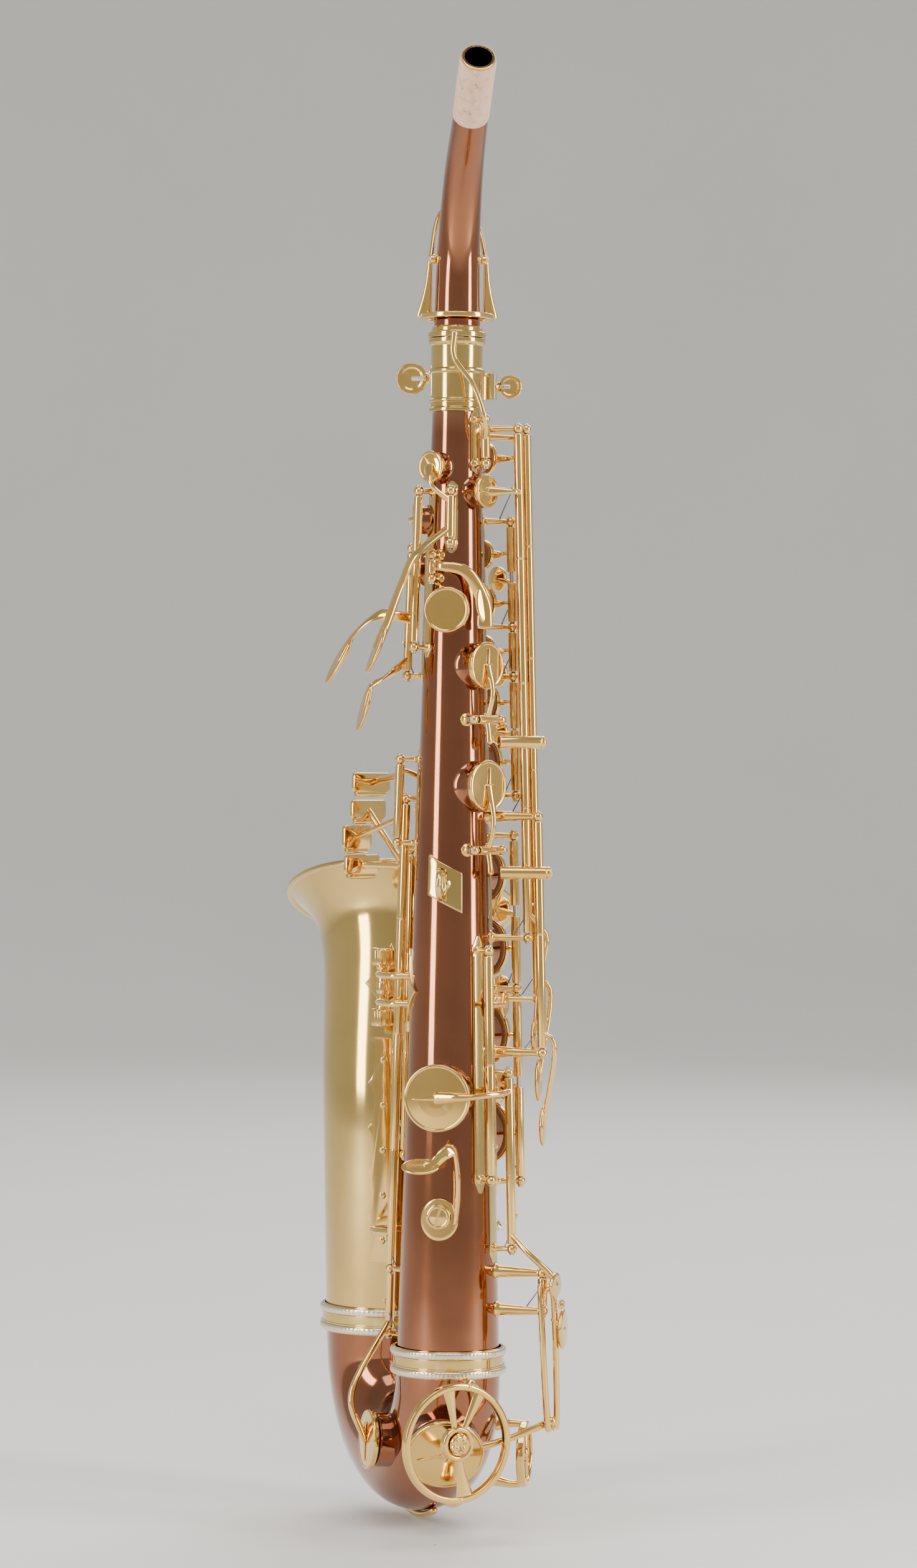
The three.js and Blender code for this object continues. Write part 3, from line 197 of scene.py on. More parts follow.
def ramp(nodes, links, source, stops):
    node = nodes.new("ShaderNodeValToRGB")
    band = node.color_ramp.elements
    while len(band) < len(stops):
        band.new(0.5)
    for element, (place, colour) in zip(band, stops):
        element.position = place
        element.color = (*colour, 1)
    links.new(source, node.inputs["Fac"])
    return node.outputs["Color"]


def bump(nodes, links, height, shader, strength, distance):
    node = add(nodes, "ShaderNodeBump", Strength=strength, Distance=distance)
    links.new(height, node.inputs["Height"])
    links.new(node.outputs["Normal"], shader.inputs["Normal"])
    return node


def lacquered(name, dark, light, worn, roughness, polish):
    """Lacquered metal: slow drifts of colour, hand polish and faint hairlines, worn edges."""
    material, nodes, links, shader = new_material(name, 1.0, roughness, 0.55)
    where = coordinates(nodes, links)
    drift = add(nodes, "ShaderNodeTexNoise", Scale=11.0, Detail=4.0, Roughness=0.55)
    links.new(where, drift.inputs["Vector"])
    tint = ramp(nodes, links, drift.outputs["Fac"], [(0.32, dark), (0.68, light)])
    shape = nodes.new("ShaderNodeNewGeometry")
    edge = ramp(nodes, links, shape.outputs["Pointiness"],
                [(0.52, (0, 0, 0)), (0.62, (1, 1, 1))])
    mix = add(nodes, "ShaderNodeMix", data_type="RGBA")
    soft = add(nodes, "ShaderNodeMath", operation="MULTIPLY")
    soft.inputs[1].default_value = 0.55
    links.new(edge, soft.inputs[0])
    links.new(soft.outputs[0], mix.inputs["Factor"])
    links.new(tint, mix.inputs["A"])
    mix.inputs["B"].default_value = (*worn, 1)
    links.new(mix.outputs["Result"], shader.inputs["Base Color"])
    smear = add(nodes, "ShaderNodeTexNoise", Scale=55.0, Detail=6.0, Roughness=0.65)
    links.new(where, smear.inputs["Vector"])
    spread = add(nodes, "ShaderNodeMapRange")
    spread.inputs["To Min"].default_value = roughness * 0.7
    spread.inputs["To Max"].default_value = roughness * 1.5
    links.new(smear.outputs["Fac"], spread.inputs["Value"])
    links.new(spread.outputs["Result"], shader.inputs["Roughness"])
    lines = add(nodes, "ShaderNodeTexNoise", Scale=1.0, Detail=3.0)
    links.new(coordinates(nodes, links, (60, 60, 2600)), lines.inputs["Vector"])
    wave = add(nodes, "ShaderNodeTexNoise", Scale=38.0, Detail=1.0)
    links.new(where, wave.inputs["Vector"])
    total = add(nodes, "ShaderNodeMath", operation="MULTIPLY_ADD")
    links.new(lines.outputs["Fac"], total.inputs[0])
    total.inputs[1].default_value = 0.02
    links.new(wave.outputs["Fac"], total.inputs[2])
    bump(nodes, links, total.outputs[0], shader, polish, 0.0006)
    return material


LACQUERS = {  # dark and light drift, worn edges, roughness, polish
    "copper": ((0.25, 0.085, 0.036), (0.35, 0.13, 0.058), (0.66, 0.33, 0.16), 0.09, 0.2),
    "brass": ((0.62, 0.42, 0.12), (0.74, 0.53, 0.18), (0.88, 0.72, 0.38), 0.10, 0.2),
    "gold": ((0.78, 0.47, 0.11), (0.89, 0.60, 0.19), (0.98, 0.80, 0.42), 0.10, 0.1),
    "pale_bead": ((0.80, 0.72, 0.52), (0.90, 0.84, 0.66), (0.98, 0.94, 0.80), 0.2, 0.1),
    "steel": ((0.50, 0.48, 0.45), (0.62, 0.60, 0.56), (0.8, 0.78, 0.75), 0.22, 0.1),
    "blue_steel": ((0.05, 0.09, 0.20), (0.09, 0.15, 0.32), (0.3, 0.35, 0.45), 0.25, 0.1),
}
copper, brass, gold, pale, steel, blue_steel = (
    lacquered(name, *look) for name, look in LACQUERS.items())


def cork_material():
    material, nodes, links, shader = new_material("cork", 0.0, 0.82)
    where = coordinates(nodes, links)
    grain = add(nodes, "ShaderNodeTexVoronoi", Scale=900.0)
    links.new(where, grain.inputs["Vector"])
    flecks = add(nodes, "ShaderNodeTexNoise", Scale=330.0, Detail=6.0, Roughness=0.75)
    links.new(coordinates(nodes, links, (1, 1, 0.35)), flecks.inputs["Vector"])
    tone = ramp(nodes, links, flecks.outputs["Fac"], [
        (0.30, (0.30, 0.13, 0.06)), (0.40, (0.66, 0.41, 0.27)), (0.62, (0.80, 0.56, 0.41))])
    links.new(tone, shader.inputs["Base Color"])
    total = add(nodes, "ShaderNodeMath", operation="ADD")
    links.new(grain.outputs["Distance"], total.inputs[0])
    links.new(flecks.outputs["Fac"], total.inputs[1])
    bump(nodes, links, total.outputs[0], shader, 0.5, 0.0003)
    return material


def patterned(name, finish, kind, scale, signal, stops, relief=None, **texture):
    """A plain material whose colours, and relief if any, follow one texture."""
    material, nodes, links, shader = new_material(name, 0.0, *finish)
    pattern = add(nodes, "ShaderNodeTex" + kind, Scale=scale, **texture)
    links.new(coordinates(nodes, links), pattern.inputs["Vector"])
    links.new(ramp(nodes, links, pattern.outputs[signal], stops), shader.inputs["Base Color"])
    if relief:
        bump(nodes, links, pattern.outputs[signal], shader, *relief)
    return material


cork = cork_material()
leather = patterned("pad_leather", (0.5,), "Voronoi", 1400.0, "Distance", [
    (0.0, (0.30, 0.13, 0.05)), (0.7, (0.47, 0.23, 0.10))], (0.35, 0.0002))
pearl = patterned("pearl", (0.12, 0.8), "Wave", 70.0, "Fac", [
    (0.0, (0.62, 0.66, 0.62)), (0.4, (0.86, 0.82, 0.76)), (0.75, (0.80, 0.70, 0.72)),
    (1.0, (0.92, 0.92, 0.88))], Distortion=9.0, Detail=3.0)
# dark felt: the low C bumper's real felt, and also the painted shade in the slots of the rod ends
felt = patterned("felt", (0.95,), "Noise", 900.0, "Fac", [
    (0.3, (0.025, 0.02, 0.02)), (0.7, (0.09, 0.075, 0.07))], (0.8, 0.0004),
    Detail=8.0, Roughness=0.8)


# ---- shapes ----
def basis(direction, hint=None):
    """Two directions square to one."""
    d = direction.normalized()
    if hint is None or abs(hint.normalized().dot(d)) > 0.99:
        hint = UP if abs(d.z) < 0.9 else RIGHT
    x = (hint - d * hint.dot(d)).normalized()
    return x, d.cross(x)


def soften(profile, radius):
    """A profile with its corners rounded."""
    closed = profile[0] == profile[-1]
    points = [Vector(p) for p in profile]
    if closed:
        points = points[:-1]
    rounded = []
    for i, p in enumerate(points):
        if not closed and i in (0, len(points) - 1):
            rounded.append(p)
            continue
        a, b = points[i - 1] - p, points[(i + 1) % len(points)] - p
        r = min(radius, a.length * 0.45, b.length * 0.45)
        start, end = p + a.normalized() * r, p + b.normalized() * r
        for t in (0, 0.33, 0.67, 1):
            rounded.append(start * (1 - t) ** 2 + p * 2 * t * (1 - t) + end * t ** 2)
    if closed:
        rounded.append(rounded[0].copy())
    return [tuple(p) for p in rounded]


def smooth_line(points, count=8):
    """Points on a Catmull-Rom line through the given ones."""
    points = [Vector(p) for p in points]
    if len(points) == 2:
        return [points[0].lerp(points[1], t / count) for t in range(count + 1)]
    ends = [2 * points[0] - points[1], *points, 2 * points[-1] - points[-2]]
    line = []
    for a, b, c, d in zip(ends, ends[1:], ends[2:], ends[3:]):
        for i in range(count):
            t = i / count
            line.append(0.5 * (2 * b + (c - a) * t + (2 * a - 5 * b + 4 * c - d) * t * t
                               + (3 * b - a - 3 * c + d) * t ** 3))
    line.append(points[-1])
    return line


def oblong(half_width, half_height):
    return [(-half_width, -half_height), (half_width, -half_height),
            (half_width, half_height), (-half_width, half_height)]


def bead(radius, half):
    """A round wire's section, as a profile about the axis it circles."""
    return [(radius + half * math.cos(math.tau * i / 16), half * math.sin(math.tau * i / 16))
            for i in range(17)]


def band(inner, outer, low, high):
    """A flat hoop's section, closed."""
    return [(inner, low), (outer, low), (outer, high), (inner, high), (inner, low)]


def milling(depth, low, high):
    """Grooves along a turned edge, between two heights."""
    return lambda i, h: -depth * (i // 2 % 2) * (low < h < high)


class Piece:
    """One object, gathered from shapes with a material each, in millimetres."""

    def __init__(self):
        self.verts, self.faces, self.marks, self.materials = [], [], [], []

    def skin(self, rings, material, wrap=True, loop=False, caps=False):
        """Faces over rings of points, all of one length."""
        if material not in self.materials:
            self.materials.append(material)
        mark = self.materials.index(material)
        base, n = len(self.verts), len(rings[0])
        self.verts += [p for ring in rings for p in ring]
        faces = []
        for i in range(len(rings) if loop else len(rings) - 1):
            low, high = base + i * n, base + (i + 1) % len(rings) * n
            for j in range(n if wrap else n - 1):
                k = (j + 1) % n
                faces.append((low + j, low + k, high + k, high + j))
        if caps:
            faces += [tuple(range(base, base + n)),
                      tuple(range(base + (len(rings) - 1) * n, base + len(rings) * n))]
        self.faces += faces
        self.marks += [mark] * len(faces)
        return self

    def lathe(self, profile, origin, direction, material, sides=48, round_by=0.4, ridges=None):
        """A turned shape: pairs of radius and height about a direction from an origin."""
        x, y = basis(direction)
        d = direction.normalized()
        rings = []
        for r, h in soften(profile, round_by) if round_by else profile:
            ring = []
            for i in range(sides):
                a = math.tau * i / sides
                wide = r + (ridges(i, h) if ridges else 0)
                ring.append(origin + d * h + (x * math.cos(a) + y * math.sin(a)) * wide)
            rings.append(ring)
        return self.skin(rings, material)

    def rod(self, a, b, radius, material, end_radius=None, sides=24, edge=0.3):
        a, b = Vector(a), Vector(b)
        last = radius if end_radius is None else end_radius
        length = (b - a).length
        return self.lathe([(0, 0), (radius, 0), (last, length), (0, length)], a, b - a,
                          material, sides, edge)

    def ball(self, centre, radius, material, up=UP, sides=24):
        profile = [(radius * math.sin(math.pi * i / 12), -radius * math.cos(math.pi * i / 12))
                   for i in range(13)]
        return self.lathe(profile, Vector(centre), up, material, sides, 0)

    def sweep(self, points, size, material, normal=None, sides=14, count=8):
        """A bar along a smooth line. size(t) gives half its width and half its thickness."""
        line = smooth_line(points, count)
        last = len(line) - 1
        hint = normal
        rings = []
        for i, p in enumerate(line):
            heading = (line[min(i + 1, last)] - line[max(i - 1, 0)]).normalized()
            up, wide = basis(heading, hint)
            if normal is None:
                hint = up
            a, b = size(i / last)
            stops = [(0, 1)]
            if i == 0:
                stops = [(-0.95, 0.2), (-0.75, 0.66), (-0.35, 0.93), (0, 1)]
            if i == last:
                stops = [(0, 1), (0.35, 0.93), (0.75, 0.66), (0.95, 0.2)]
            for push, scale in stops:
                middle = p + heading * push * min(a, b)
                rings.append([middle + wide * a * scale * math.cos(math.tau * j / sides)
                              + up * b * scale * math.sin(math.tau * j / sides)
                              for j in range(sides)])
        return self.skin(rings, material, caps=True)

    def pad_shape(self, centre, lengthways, normal, size, material, dish=0.0, power=2.4):
        """A rounded, slightly dished touch; size is half its length, width and thickness."""
        x = lengthways.normalized()
        z = (normal - x * normal.dot(x)).normalized()
        y = z.cross(x)
        a, b, c = size
        rings = []
        steps, sides = 9, 40
        for i in range(-steps, steps + 1):
            s = i / steps
            reach = (1 - abs(s) ** power) ** (1 / power)
            ring = []
            for j in range(sides):
                t = math.tau * j / sides
                lift = c * s
                if s > 0:
                    lift -= dish * c * (1 - reach ** 2)
                ring.append(centre + x * a * reach * math.cos(t) + y * b * reach * math.sin(t)
                            + z * lift)
            rings.append(ring)
        return self.skin(rings, material)

    def slab(self, outline, thickness, centre, normal, upright, material, edge=0.45):
        """A flat plate with rounded edges, from an outline of (across, up) pairs."""
        z = normal.normalized()
        x = upright.cross(z).normalized()
        y = z.cross(x)
        middle = sum((Vector(p) for p in outline), Vector((0, 0))) / len(outline)
        rings = []
        for h, inset in ((0, edge), (edge * 0.3, edge * 0.3), (edge, 0), (thickness - edge, 0),
                         (thickness - edge * 0.3, edge * 0.3), (thickness, edge)):
            ring = []
            for p in outline:
                q = Vector(p)
                q -= (q - middle).normalized() * inset
                ring.append(centre + x * q.x + y * q.y + z * h)
            rings.append(ring)
        return self.skin(rings, material, caps=True)

    def shaped(self, name, painted=True):
        """The shapes as one clean object. A cutter stays unpainted."""
        mesh = bpy.data.meshes.new(name)
        mesh.from_pydata([Vector(p) * MM for p in self.verts], [], self.faces)
        if painted:
            for material in self.materials:
                mesh.materials.append(material)
            mesh.polygons.foreach_set("material_index", self.marks)
        work = bmesh.new()
        work.from_mesh(mesh)
        bmesh.ops.remove_doubles(work, verts=work.verts, dist=WELD)
        bmesh.ops.recalc_face_normals(work, faces=work.faces)
        work.to_mesh(mesh)
        work.free()
        return linked(bpy.data.objects.new(name, mesh))

    def make(self, name, body, *nodes, cut=None, slot=None):
        piece = self.shaped(name)
        if cut:
            cutter = cut.shaped(name + "_cutter", False)
            change = piece.modifiers.new("holes", "BOOLEAN")
            change.object = cutter
            change.solver = "EXACT"
            ready = piece.evaluated_get(bpy.context.evaluated_depsgraph_get())
            drilled_mesh = bpy.data.meshes.new_from_object(ready)
            piece.modifiers.clear()
            piece.data = drilled_mesh
            bpy.data.objects.remove(cutter)
        piece.data.shade_smooth()
        piece.data.set_sharp_from_angle(angle=CREASE)
        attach(piece, body)
        if nodes:
            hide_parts(*nodes)


# ---- horns: body tube, bow, bell and neck ----
def horn(piece, place, outer, inner, material, steps, sides):
    """A wall turned round a bent line. place(s) gives a point, a heading and a sideways."""
    profile = [(outer(i / steps), i / steps) for i in range(steps + 1)]
    profile += [(inner(i / steps), i / steps) for i in range(steps, -1, -1)]
    rings = []
    for r, s in profile:
        point, heading, side = place(s)
        third = side.cross(heading)
        rings.append([point + side * r * math.sin(math.tau * i / sides)
                      + third * r * math.cos(math.tau * i / sides) for i in range(sides)])
    return piece.skin(rings, material, loop=True)


def chimney(piece, foot, direction, radius, height, curve, material, sides=48, deep=0.6):
    """A tone hole's chimney: its foot follows the tube, its rim is turned over."""
    x = along(math.degrees(math.atan2(direction.x, -direction.y)))
    x = (x - direction * x.dot(direction)).normalized()
    y = direction.cross(x)
    rim = radius + RIM
    profile = [(radius, None), (radius, height - 0.3), (radius + 0.35, height),
               (rim - 0.3, height), (rim + 0.15, height - 0.35), (rim + 0.1, height - 0.9),
               (rim, height - 1.3), (rim, 1.3), (rim + 0.35, 0.5), (rim + 1.2, None)]
    rings = []
    for r, h in profile:
        ring = []
        for i in range(sides):
            a = math.tau * i / sides
            across = r * math.cos(a)
            drop = curve - math.sqrt(max(curve * curve - across * across, 0.01))
            if h is None:
                lift = -drop - deep
            else:
                lift = h - drop if h < 1.4 else h
            ring.append(foot + direction * lift + x * across + y * r * math.sin(a))
        rings.append(ring)
    return piece.skin(rings, material, loop=True)


HOLES = {
    "palm_f": (-28, 208, 5.5),
    "palm_eflat": (-78, 182, 6),
    "palm_d": (-125, 158, 6.5),
    "side_e": (62, 196, 6),
    "high_fsharp": (138, 214, 5.5),
    "side_c": (58, 109, 9.5),
    "side_bflat": (57, 49, 10.5),
    "c_key": (158, 166, 5),
    "b_key": (158, 141, 7),
    "bis_key": (158, 117, 6),
    "a_key": (158, 91, 8.5),
    "g_key": (158, 61, 10),
    "gsharp_key": (-150, 36, 10),
    "fsharp_key": (158, 4, 11.5),
    "f_key": (158, -33, 12.5),
    "e_key": (158, -77, 13),
    "d_key": (158, -127, 13.5),
    "low_eflat": (-2, -106, 14.5),
}
ROWS = {
    "palm_f": (4, 6.5, 196, 170),
    "octave": (-22, 6.5, 164, 152),
    "palm_eflat": (-48, 8, 196, 118),
    "palm_d": (-94, 8.5, 168, 104),
    "left_stack": (116, 15, 182, 129, 104, 44),
    "side_e": (92, 19, 228, -27),
    "side_c": (100, 22.8, 228, -58),
    "side_bflat": (84, 26.5, 34, -84),
    "fsharp_trill": (52, 8.5, -33, -147),
    "right_stack": (112, 13, 24, -53, -150),
    "low_eflat": (76, 10.5, -94, -182),
    "low_keys": (85, 24, -194, -213),
    "octave_rocker": (60, 7, 232, 210),
    "high_fsharp": (108, 19, 224, 34),
    "gsharp": (-90, 10, 62, 20),
    "table_csharp": (-122, 16, 17, -230),
    "table_b": (-108, 9.5, 42, -196),
    "table_bflat": (-136, 20, 16, -140),
}
CROSS_ROWS = ((58, 82), (57, 17))
CROSS_HEIGHT = 6.5
CROSS_HALF = 10
RIBS = ((("left_stack", "right_stack", "low_eflat", "table_b", "fsharp_trill"), 7, 3.4),
        (("palm_eflat", "palm_d", "gsharp", "octave_rocker", "palm_f"), 5, 3.0))
SPRUNG = {"left_stack": 4, "right_stack": 2, **dict.fromkeys((
    "palm_eflat", "palm_d", "side_e", "side_c", "side_bflat", "low_eflat", "low_keys",
    "table_csharp", "table_b", "table_bflat", "fsharp_trill", "high_fsharp"), 1)}


def solder_foot(piece, az, z, height, wide=2.9):
    """A post: a soldered foot, a waist and a ball with the rod through it."""
    base = tube_radius(z)
    waist, neck_size = (3.0, 1.8) if height >= LONG_POST else (1.15 + 0.035 * height, 1.15)
    foot = wide + 0.05 * height
    profile = [(0, -0.6), (foot, -0.6), (foot, 0.35), (waist + 0.8, 1.0), (waist, 2.2),
               (neck_size, height - 2.2), (neck_size + 0.15, height - 1.7), (0, height - 1.2)]
    piece.lathe(profile, at(az, base, z), out(az), gold, 24, 0.5)
    piece.ball(at(az, base + height, z), POST_BALL, gold, out(az), 24)


def slotted_end(piece, point, direction):
    """The slotted end of a steel rod, in a post's ball. Its slot is painted shade: a thin dark
    sheet laid on the end, not cut.
    """
    piece.lathe([(0, -0.8), (1.45, -0.8), (1.45, 0.25), (1.1, 0.5), (0, 0.5)], point, direction,
                steel, 20, 0.15)
    x, y = basis(direction)
    # painted shade: a thin dark felt sheet on the rod end stands for the slot's shadowed groove
    piece.slab(oblong(1.25, 0.16), 0.12,
               point + direction * 0.46, direction, y, felt, 0.02)


def post_row(piece, az, height, zs):
    for z in zs:
        solder_foot(piece, az, z, height)
    low, high = on(az, height, zs[-1]), on(az, height, zs[0])
    axis = (high - low).normalized()
    piece.rod(low, high, ROD, steel, sides=16)
    slotted_end(piece, high + axis * (POST_BALL - 0.2), axis)
    slotted_end(piece, low - axis * (POST_BALL - 0.2), -axis)


def spring(piece, az, height, z, length):
    """A blued needle spring from a post's foot to its catch on the key."""
    start = on(az, height * 0.62, z)
    end = on(az, height + HINGE - 0.4, z + length)
    sideways = along(az) * 2.1
    piece.sweep([start, start.lerp(end, 0.5) + sideways * 0.75, end + sideways],
                lambda t: (0.33 - 0.16 * t, 0.33 - 0.16 * t), blue_steel, sides=8, count=6)
    piece.lathe(band(0.5, 1.0, 0, 1.3), end + sideways * 0.9, UP, gold, 12, 0.1)


def rib(piece, az, top, bottom, wide):
    """A thin plate soldered along the tube under a row of posts."""
    steps = 24
    rings = []
    for i in range(steps + 1):
        z = bottom + (top - bottom) * i / steps
        end = min(i, steps - i) * (top - bottom) / steps
        near = min(end / 4, 1)
        half = wide * math.sqrt(max(0.06, near * (2 - near)))
        ring = []
        for across, lift in ((-1, -0.3), (-1, 0.45), (-0.9, 0.75), (0, 0.8), (0.9, 0.75),
                             (1, 0.45), (1, -0.3)):
            turn = math.degrees(half * across / tube_radius(z))
            ring.append(on(az + turn, lift, z))
        rings.append(ring)
    piece.skin(rings, brass, caps=True)


def body_tube():
    tube = Piece()
    profile = [(tube_radius(z), z) for z in range(TUBE_BOTTOM, TUBE_TOP + 1, 6)]
    profile[-1] = (TUBE_TOP_RADIUS, TUBE_TOP)
    profile += [(r - WALL, z) for r, z in reversed(profile)]
    profile.append(profile[0])
    tube.lathe(profile, AXIS, UP, copper, 128, 0)
    holes = Piece()
    for az, z, radius in HOLES.values():
        holes.rod(at(az, 4, z), on(az, 3, z), radius + HOLE_EASE, copper, sides=40, edge=0)
    tube.make("tube", "root", "body_tube", cut=holes)

    trim = Piece()
    for az, z, radius in HOLES.values():
        chimney(trim, at(az, tube_radius(z), z), out(az), radius, CHIMNEY, tube_radius(z), copper)
    trim.make("tone_holes", "root")

    posts = Piece()
    for az, height, *zs in ROWS.values():
        post_row(posts, az, height, zs)
    for az, z in CROSS_ROWS:
        middle, spine = on(az, CROSS_HEIGHT, z), at(az, 0, z)
        for turn in (-1, 1):
            end = middle + along(az) * CROSS_HALF * turn
            away = (end - spine).normalized()
            foot = spine + away * (tube_radius(z) - 0.4)
            reach = (end - foot).length
            posts.lathe([(0, 0), (3.4, 0), (3.4, 0.7), (2.2, 1.4), (1.3, 2.6), (1.3, reach - 1.6),
                         (0, reach - 1)], foot, away, gold, 24, 0.5)
            posts.ball(end, POST_BALL, gold, away)
            slotted_end(posts, end + along(az) * turn * (POST_BALL - 0.2), along(az) * turn)
        half = along(az) * CROSS_HALF
        posts.rod(middle - half, middle + half, ROD, steel)
    posts.make("posts_and_rods", "root")

    strips = Piece()
    for rows, margin, wide in RIBS:
        for row in rows:
            az, _, top, *rest = ROWS[row]
            rib(strips, az, top + margin, rest[-1] - margin, wide)
    strips.make("soldered_strips", "root")

    needles = Piece()
    for row, count in SPRUNG.items():
        az, height, *zs = ROWS[row]
        for z in list(reversed(zs))[:count]:
            spring(needles, az, height, z + 1.2, 15)
    needles.make("needle_springs", "root", slot="gold")


body_tube()

TO_BELL = out(BELL_AZ)
BOW_TOP = TUBE_BOTTOM - 0.3
BOW_DOWN = BOW_TOP - BOW_ARC_Z
BOW_UP = BELL_SIDE_Z - 0.3 - BOW_ARC_Z
BOW_LENGTH = BOW_DOWN + math.pi * BOW_RADIUS + BOW_UP


def bow_place(s):
    run = s * BOW_LENGTH
    side = along(BELL_AZ)
    if run < BOW_DOWN:
        return at(0, 0, BOW_TOP - run), DOWN, side
    turn = min((run - BOW_DOWN) / BOW_RADIUS, math.pi)
    rise = max(run - BOW_DOWN - math.pi * BOW_RADIUS, 0)
    point = at(BELL_AZ, BOW_RADIUS * (1 - math.cos(turn)),
               BOW_ARC_Z - BOW_RADIUS * math.sin(turn) + rise)
    return point, TO_BELL * math.sin(turn) + Vector((0, 0, -math.cos(turn))), side


def bow_radius(s):
    start = tube_radius(TUBE_BOTTOM)
    return start + (BELL_BASE_RADIUS - start) * s


def flush_hole(centre, direction, radius, reach):
    """A tone hole on the bow or bell: its middle, direction, radius and rim."""
    return centre, direction, radius, centre + direction * reach


def bow_hole(s, az, radius):
    centre, heading, _ = bow_place(s)
    direction = out(az) - heading * out(az).dot(heading)
    return flush_hole(centre, direction.normalized(), radius, bow_radius(s) + CHIMNEY + 1)


LOW_C = bow_hole(0.15, 14, 16.5)
LOW_CSHARP = bow_hole(0.27, -66, 12.5)


def drilled(name, node, piece, holes, material, inside):
    """A horn with its tone holes cut, and their chimneys."""
    cutter, rims = Piece(), Piece()
    for centre, direction, radius, top in holes:
        cutter.rod(centre, top + direction * 2, radius + HOLE_EASE, material, sides=48, edge=0)
        height = (top - centre).length
        rims.lathe([(radius, inside), (radius, height - 0.3), (radius + 0.35, height),
                    (radius + RIM - 0.3, height), (radius + RIM + 0.15, height - 0.5),
                    (radius + RIM, height - 1.2), (radius + RIM, inside), (radius, inside)],
                   centre, direction, material, 64, 0.1)
    piece.make(name, "root", node, cut=cutter)
    rims.make(name + "_tone_holes", "root")


bow = Piece()
horn(bow, bow_place, bow_radius, lambda s: bow_radius(s) - WALL, copper, 72, 96)
drilled("bow_pipe", "bow", bow, [LOW_C, LOW_CSHARP], copper, 19.5)

BELL_RUN = BELL_STRAIGHT_TOP - BELL_SIDE_Z
BELL_LENGTH = BELL_RUN + BELL_BEND * BELL_LEAN
BELL_CENTRE = at(BELL_AZ, 2 * BOW_RADIUS, 0)


def bell_place(s):
    run = s * BELL_LENGTH
    turn = max(run - BELL_RUN, 0) / BELL_BEND
    point = Vector((BELL_CENTRE.x, BELL_CENTRE.y, BELL_SIDE_Z + min(run, BELL_RUN)))
    point += Vector((0, BELL_BEND * (1 - math.cos(turn)), BELL_BEND * math.sin(turn)))
    return point, Vector((0, math.sin(turn), math.cos(turn))), RIGHT


def bell_radius(s):
    slow = BELL_BASE_RADIUS + (BELL_TOP_RADIUS - BELL_BASE_RADIUS) * s
    flare = math.exp(-(1 - s) * BELL_LENGTH / FLARE_LENGTH)
    return slow + (BELL_RIM_RADIUS - BELL_TOP_RADIUS) * flare


def near_rim(s):
    return 1 - (1 - s) ** 1.8


def bell_hole(z, az, radius):
    s = (z - BELL_SIDE_Z) / BELL_LENGTH
    return flush_hole(bell_place(s)[0], out(az), radius, bell_radius(s) + CHIMNEY + 2)


LOW_B = bell_hole(-178, 84, 19)
LOW_BFLAT = bell_hole(-112, 84, 20)
bell = Piece()
horn(bell, lambda s: bell_place(near_rim(s)), lambda s: bell_radius(near_rim(s)),
     lambda s: bell_radius(near_rim(s)) - WALL, brass, 80, 144)
drilled("bell_pipe", "bell", bell, [LOW_B, LOW_BFLAT], brass, 29)
mouth, mouth_heading, _ = bell_place(1)
roll = Piece()
roll.lathe(bead(BELL_RIM_RADIUS - 0.6, 1.8), mouth, mouth_heading, brass, 144, 0)
roll.make("bell_rim", "root")


# ---- rings at both ends of the bow: two milled pale beads on a brass band ----
def bow_ring(name, node, centre, z, radius):
    ring = Piece()
    base = Vector((centre.x, centre.y, z))
    ring.lathe(band(radius, radius + 1.2, 0, 14), base, UP, brass, 128, 0.3)
    for low in (0.4, 9.9):
        ring.lathe([(radius + 1.0, low), (radius + 1.9, low), (radius + 2.5, low + 0.9),
                    (radius + 2.5, low + 2.8), (radius + 1.9, low + 3.7),
                    (radius + 1.0, low + 3.7)],
                   base, UP, pale, 360, 0.3,
                   ridges=milling(0.16, low + 0.8, low + 2.9))
    for low in (4.5, 9.2):
        ring.lathe([(radius + 1.1, low), (radius + 1.75, low + 0.1), (radius + 1.75, low + 0.6),
                    (radius + 1.1, low + 0.7)], base, UP, gold, 128, 0.1)
    ring.make(name, "root", node)


bow_ring("body_ring", "body_bow_ring", at(0, 0, 0), TUBE_BOTTOM - 4, bow_radius(0.06) + 0.3)
bow_ring("bell_ring", "bell_bow_ring", BELL_CENTRE, BELL_SIDE_Z - 7, BELL_BASE_RADIUS + 0.7)


# ---- neck ----
NECK_LENGTH = NECK_RISE + NECK_BEND * NECK_TURN + NECK_END
NECK_BASE = at(0, 0, RECEIVER_TOP + 0.3)
NECK_HOLE_S = 0.4
NECK_PIVOT_S = 0.24


def neck_place(s):
    run = s * NECK_LENGTH
    turn = min(max((run - NECK_RISE) / NECK_BEND, 0), NECK_TURN)
    straight = max(run - NECK_RISE - NECK_BEND * NECK_TURN, 0)
    reach = NECK_BEND * (1 - math.cos(turn)) + straight * math.sin(turn)
    rise = min(run, NECK_RISE) + NECK_BEND * math.sin(turn) + straight * math.cos(turn)
    heading = out(NECK_AZ) * math.sin(turn) + Vector((0, 0, math.cos(turn)))
    return NECK_BASE + out(NECK_AZ) * reach + Vector((0, 0, rise)), heading, along(NECK_AZ)


def neck_radius(s):
    return NECK_BASE_RADIUS + (NECK_TIP_RADIUS - NECK_BASE_RADIUS) * s


def neck_top(s, height):
    point, heading, side = neck_place(s)
    up = heading.cross(side)
    if up.dot(out(NECK_AZ)) > 0:
        up = -up
    return point + up * (neck_radius(s) + height)


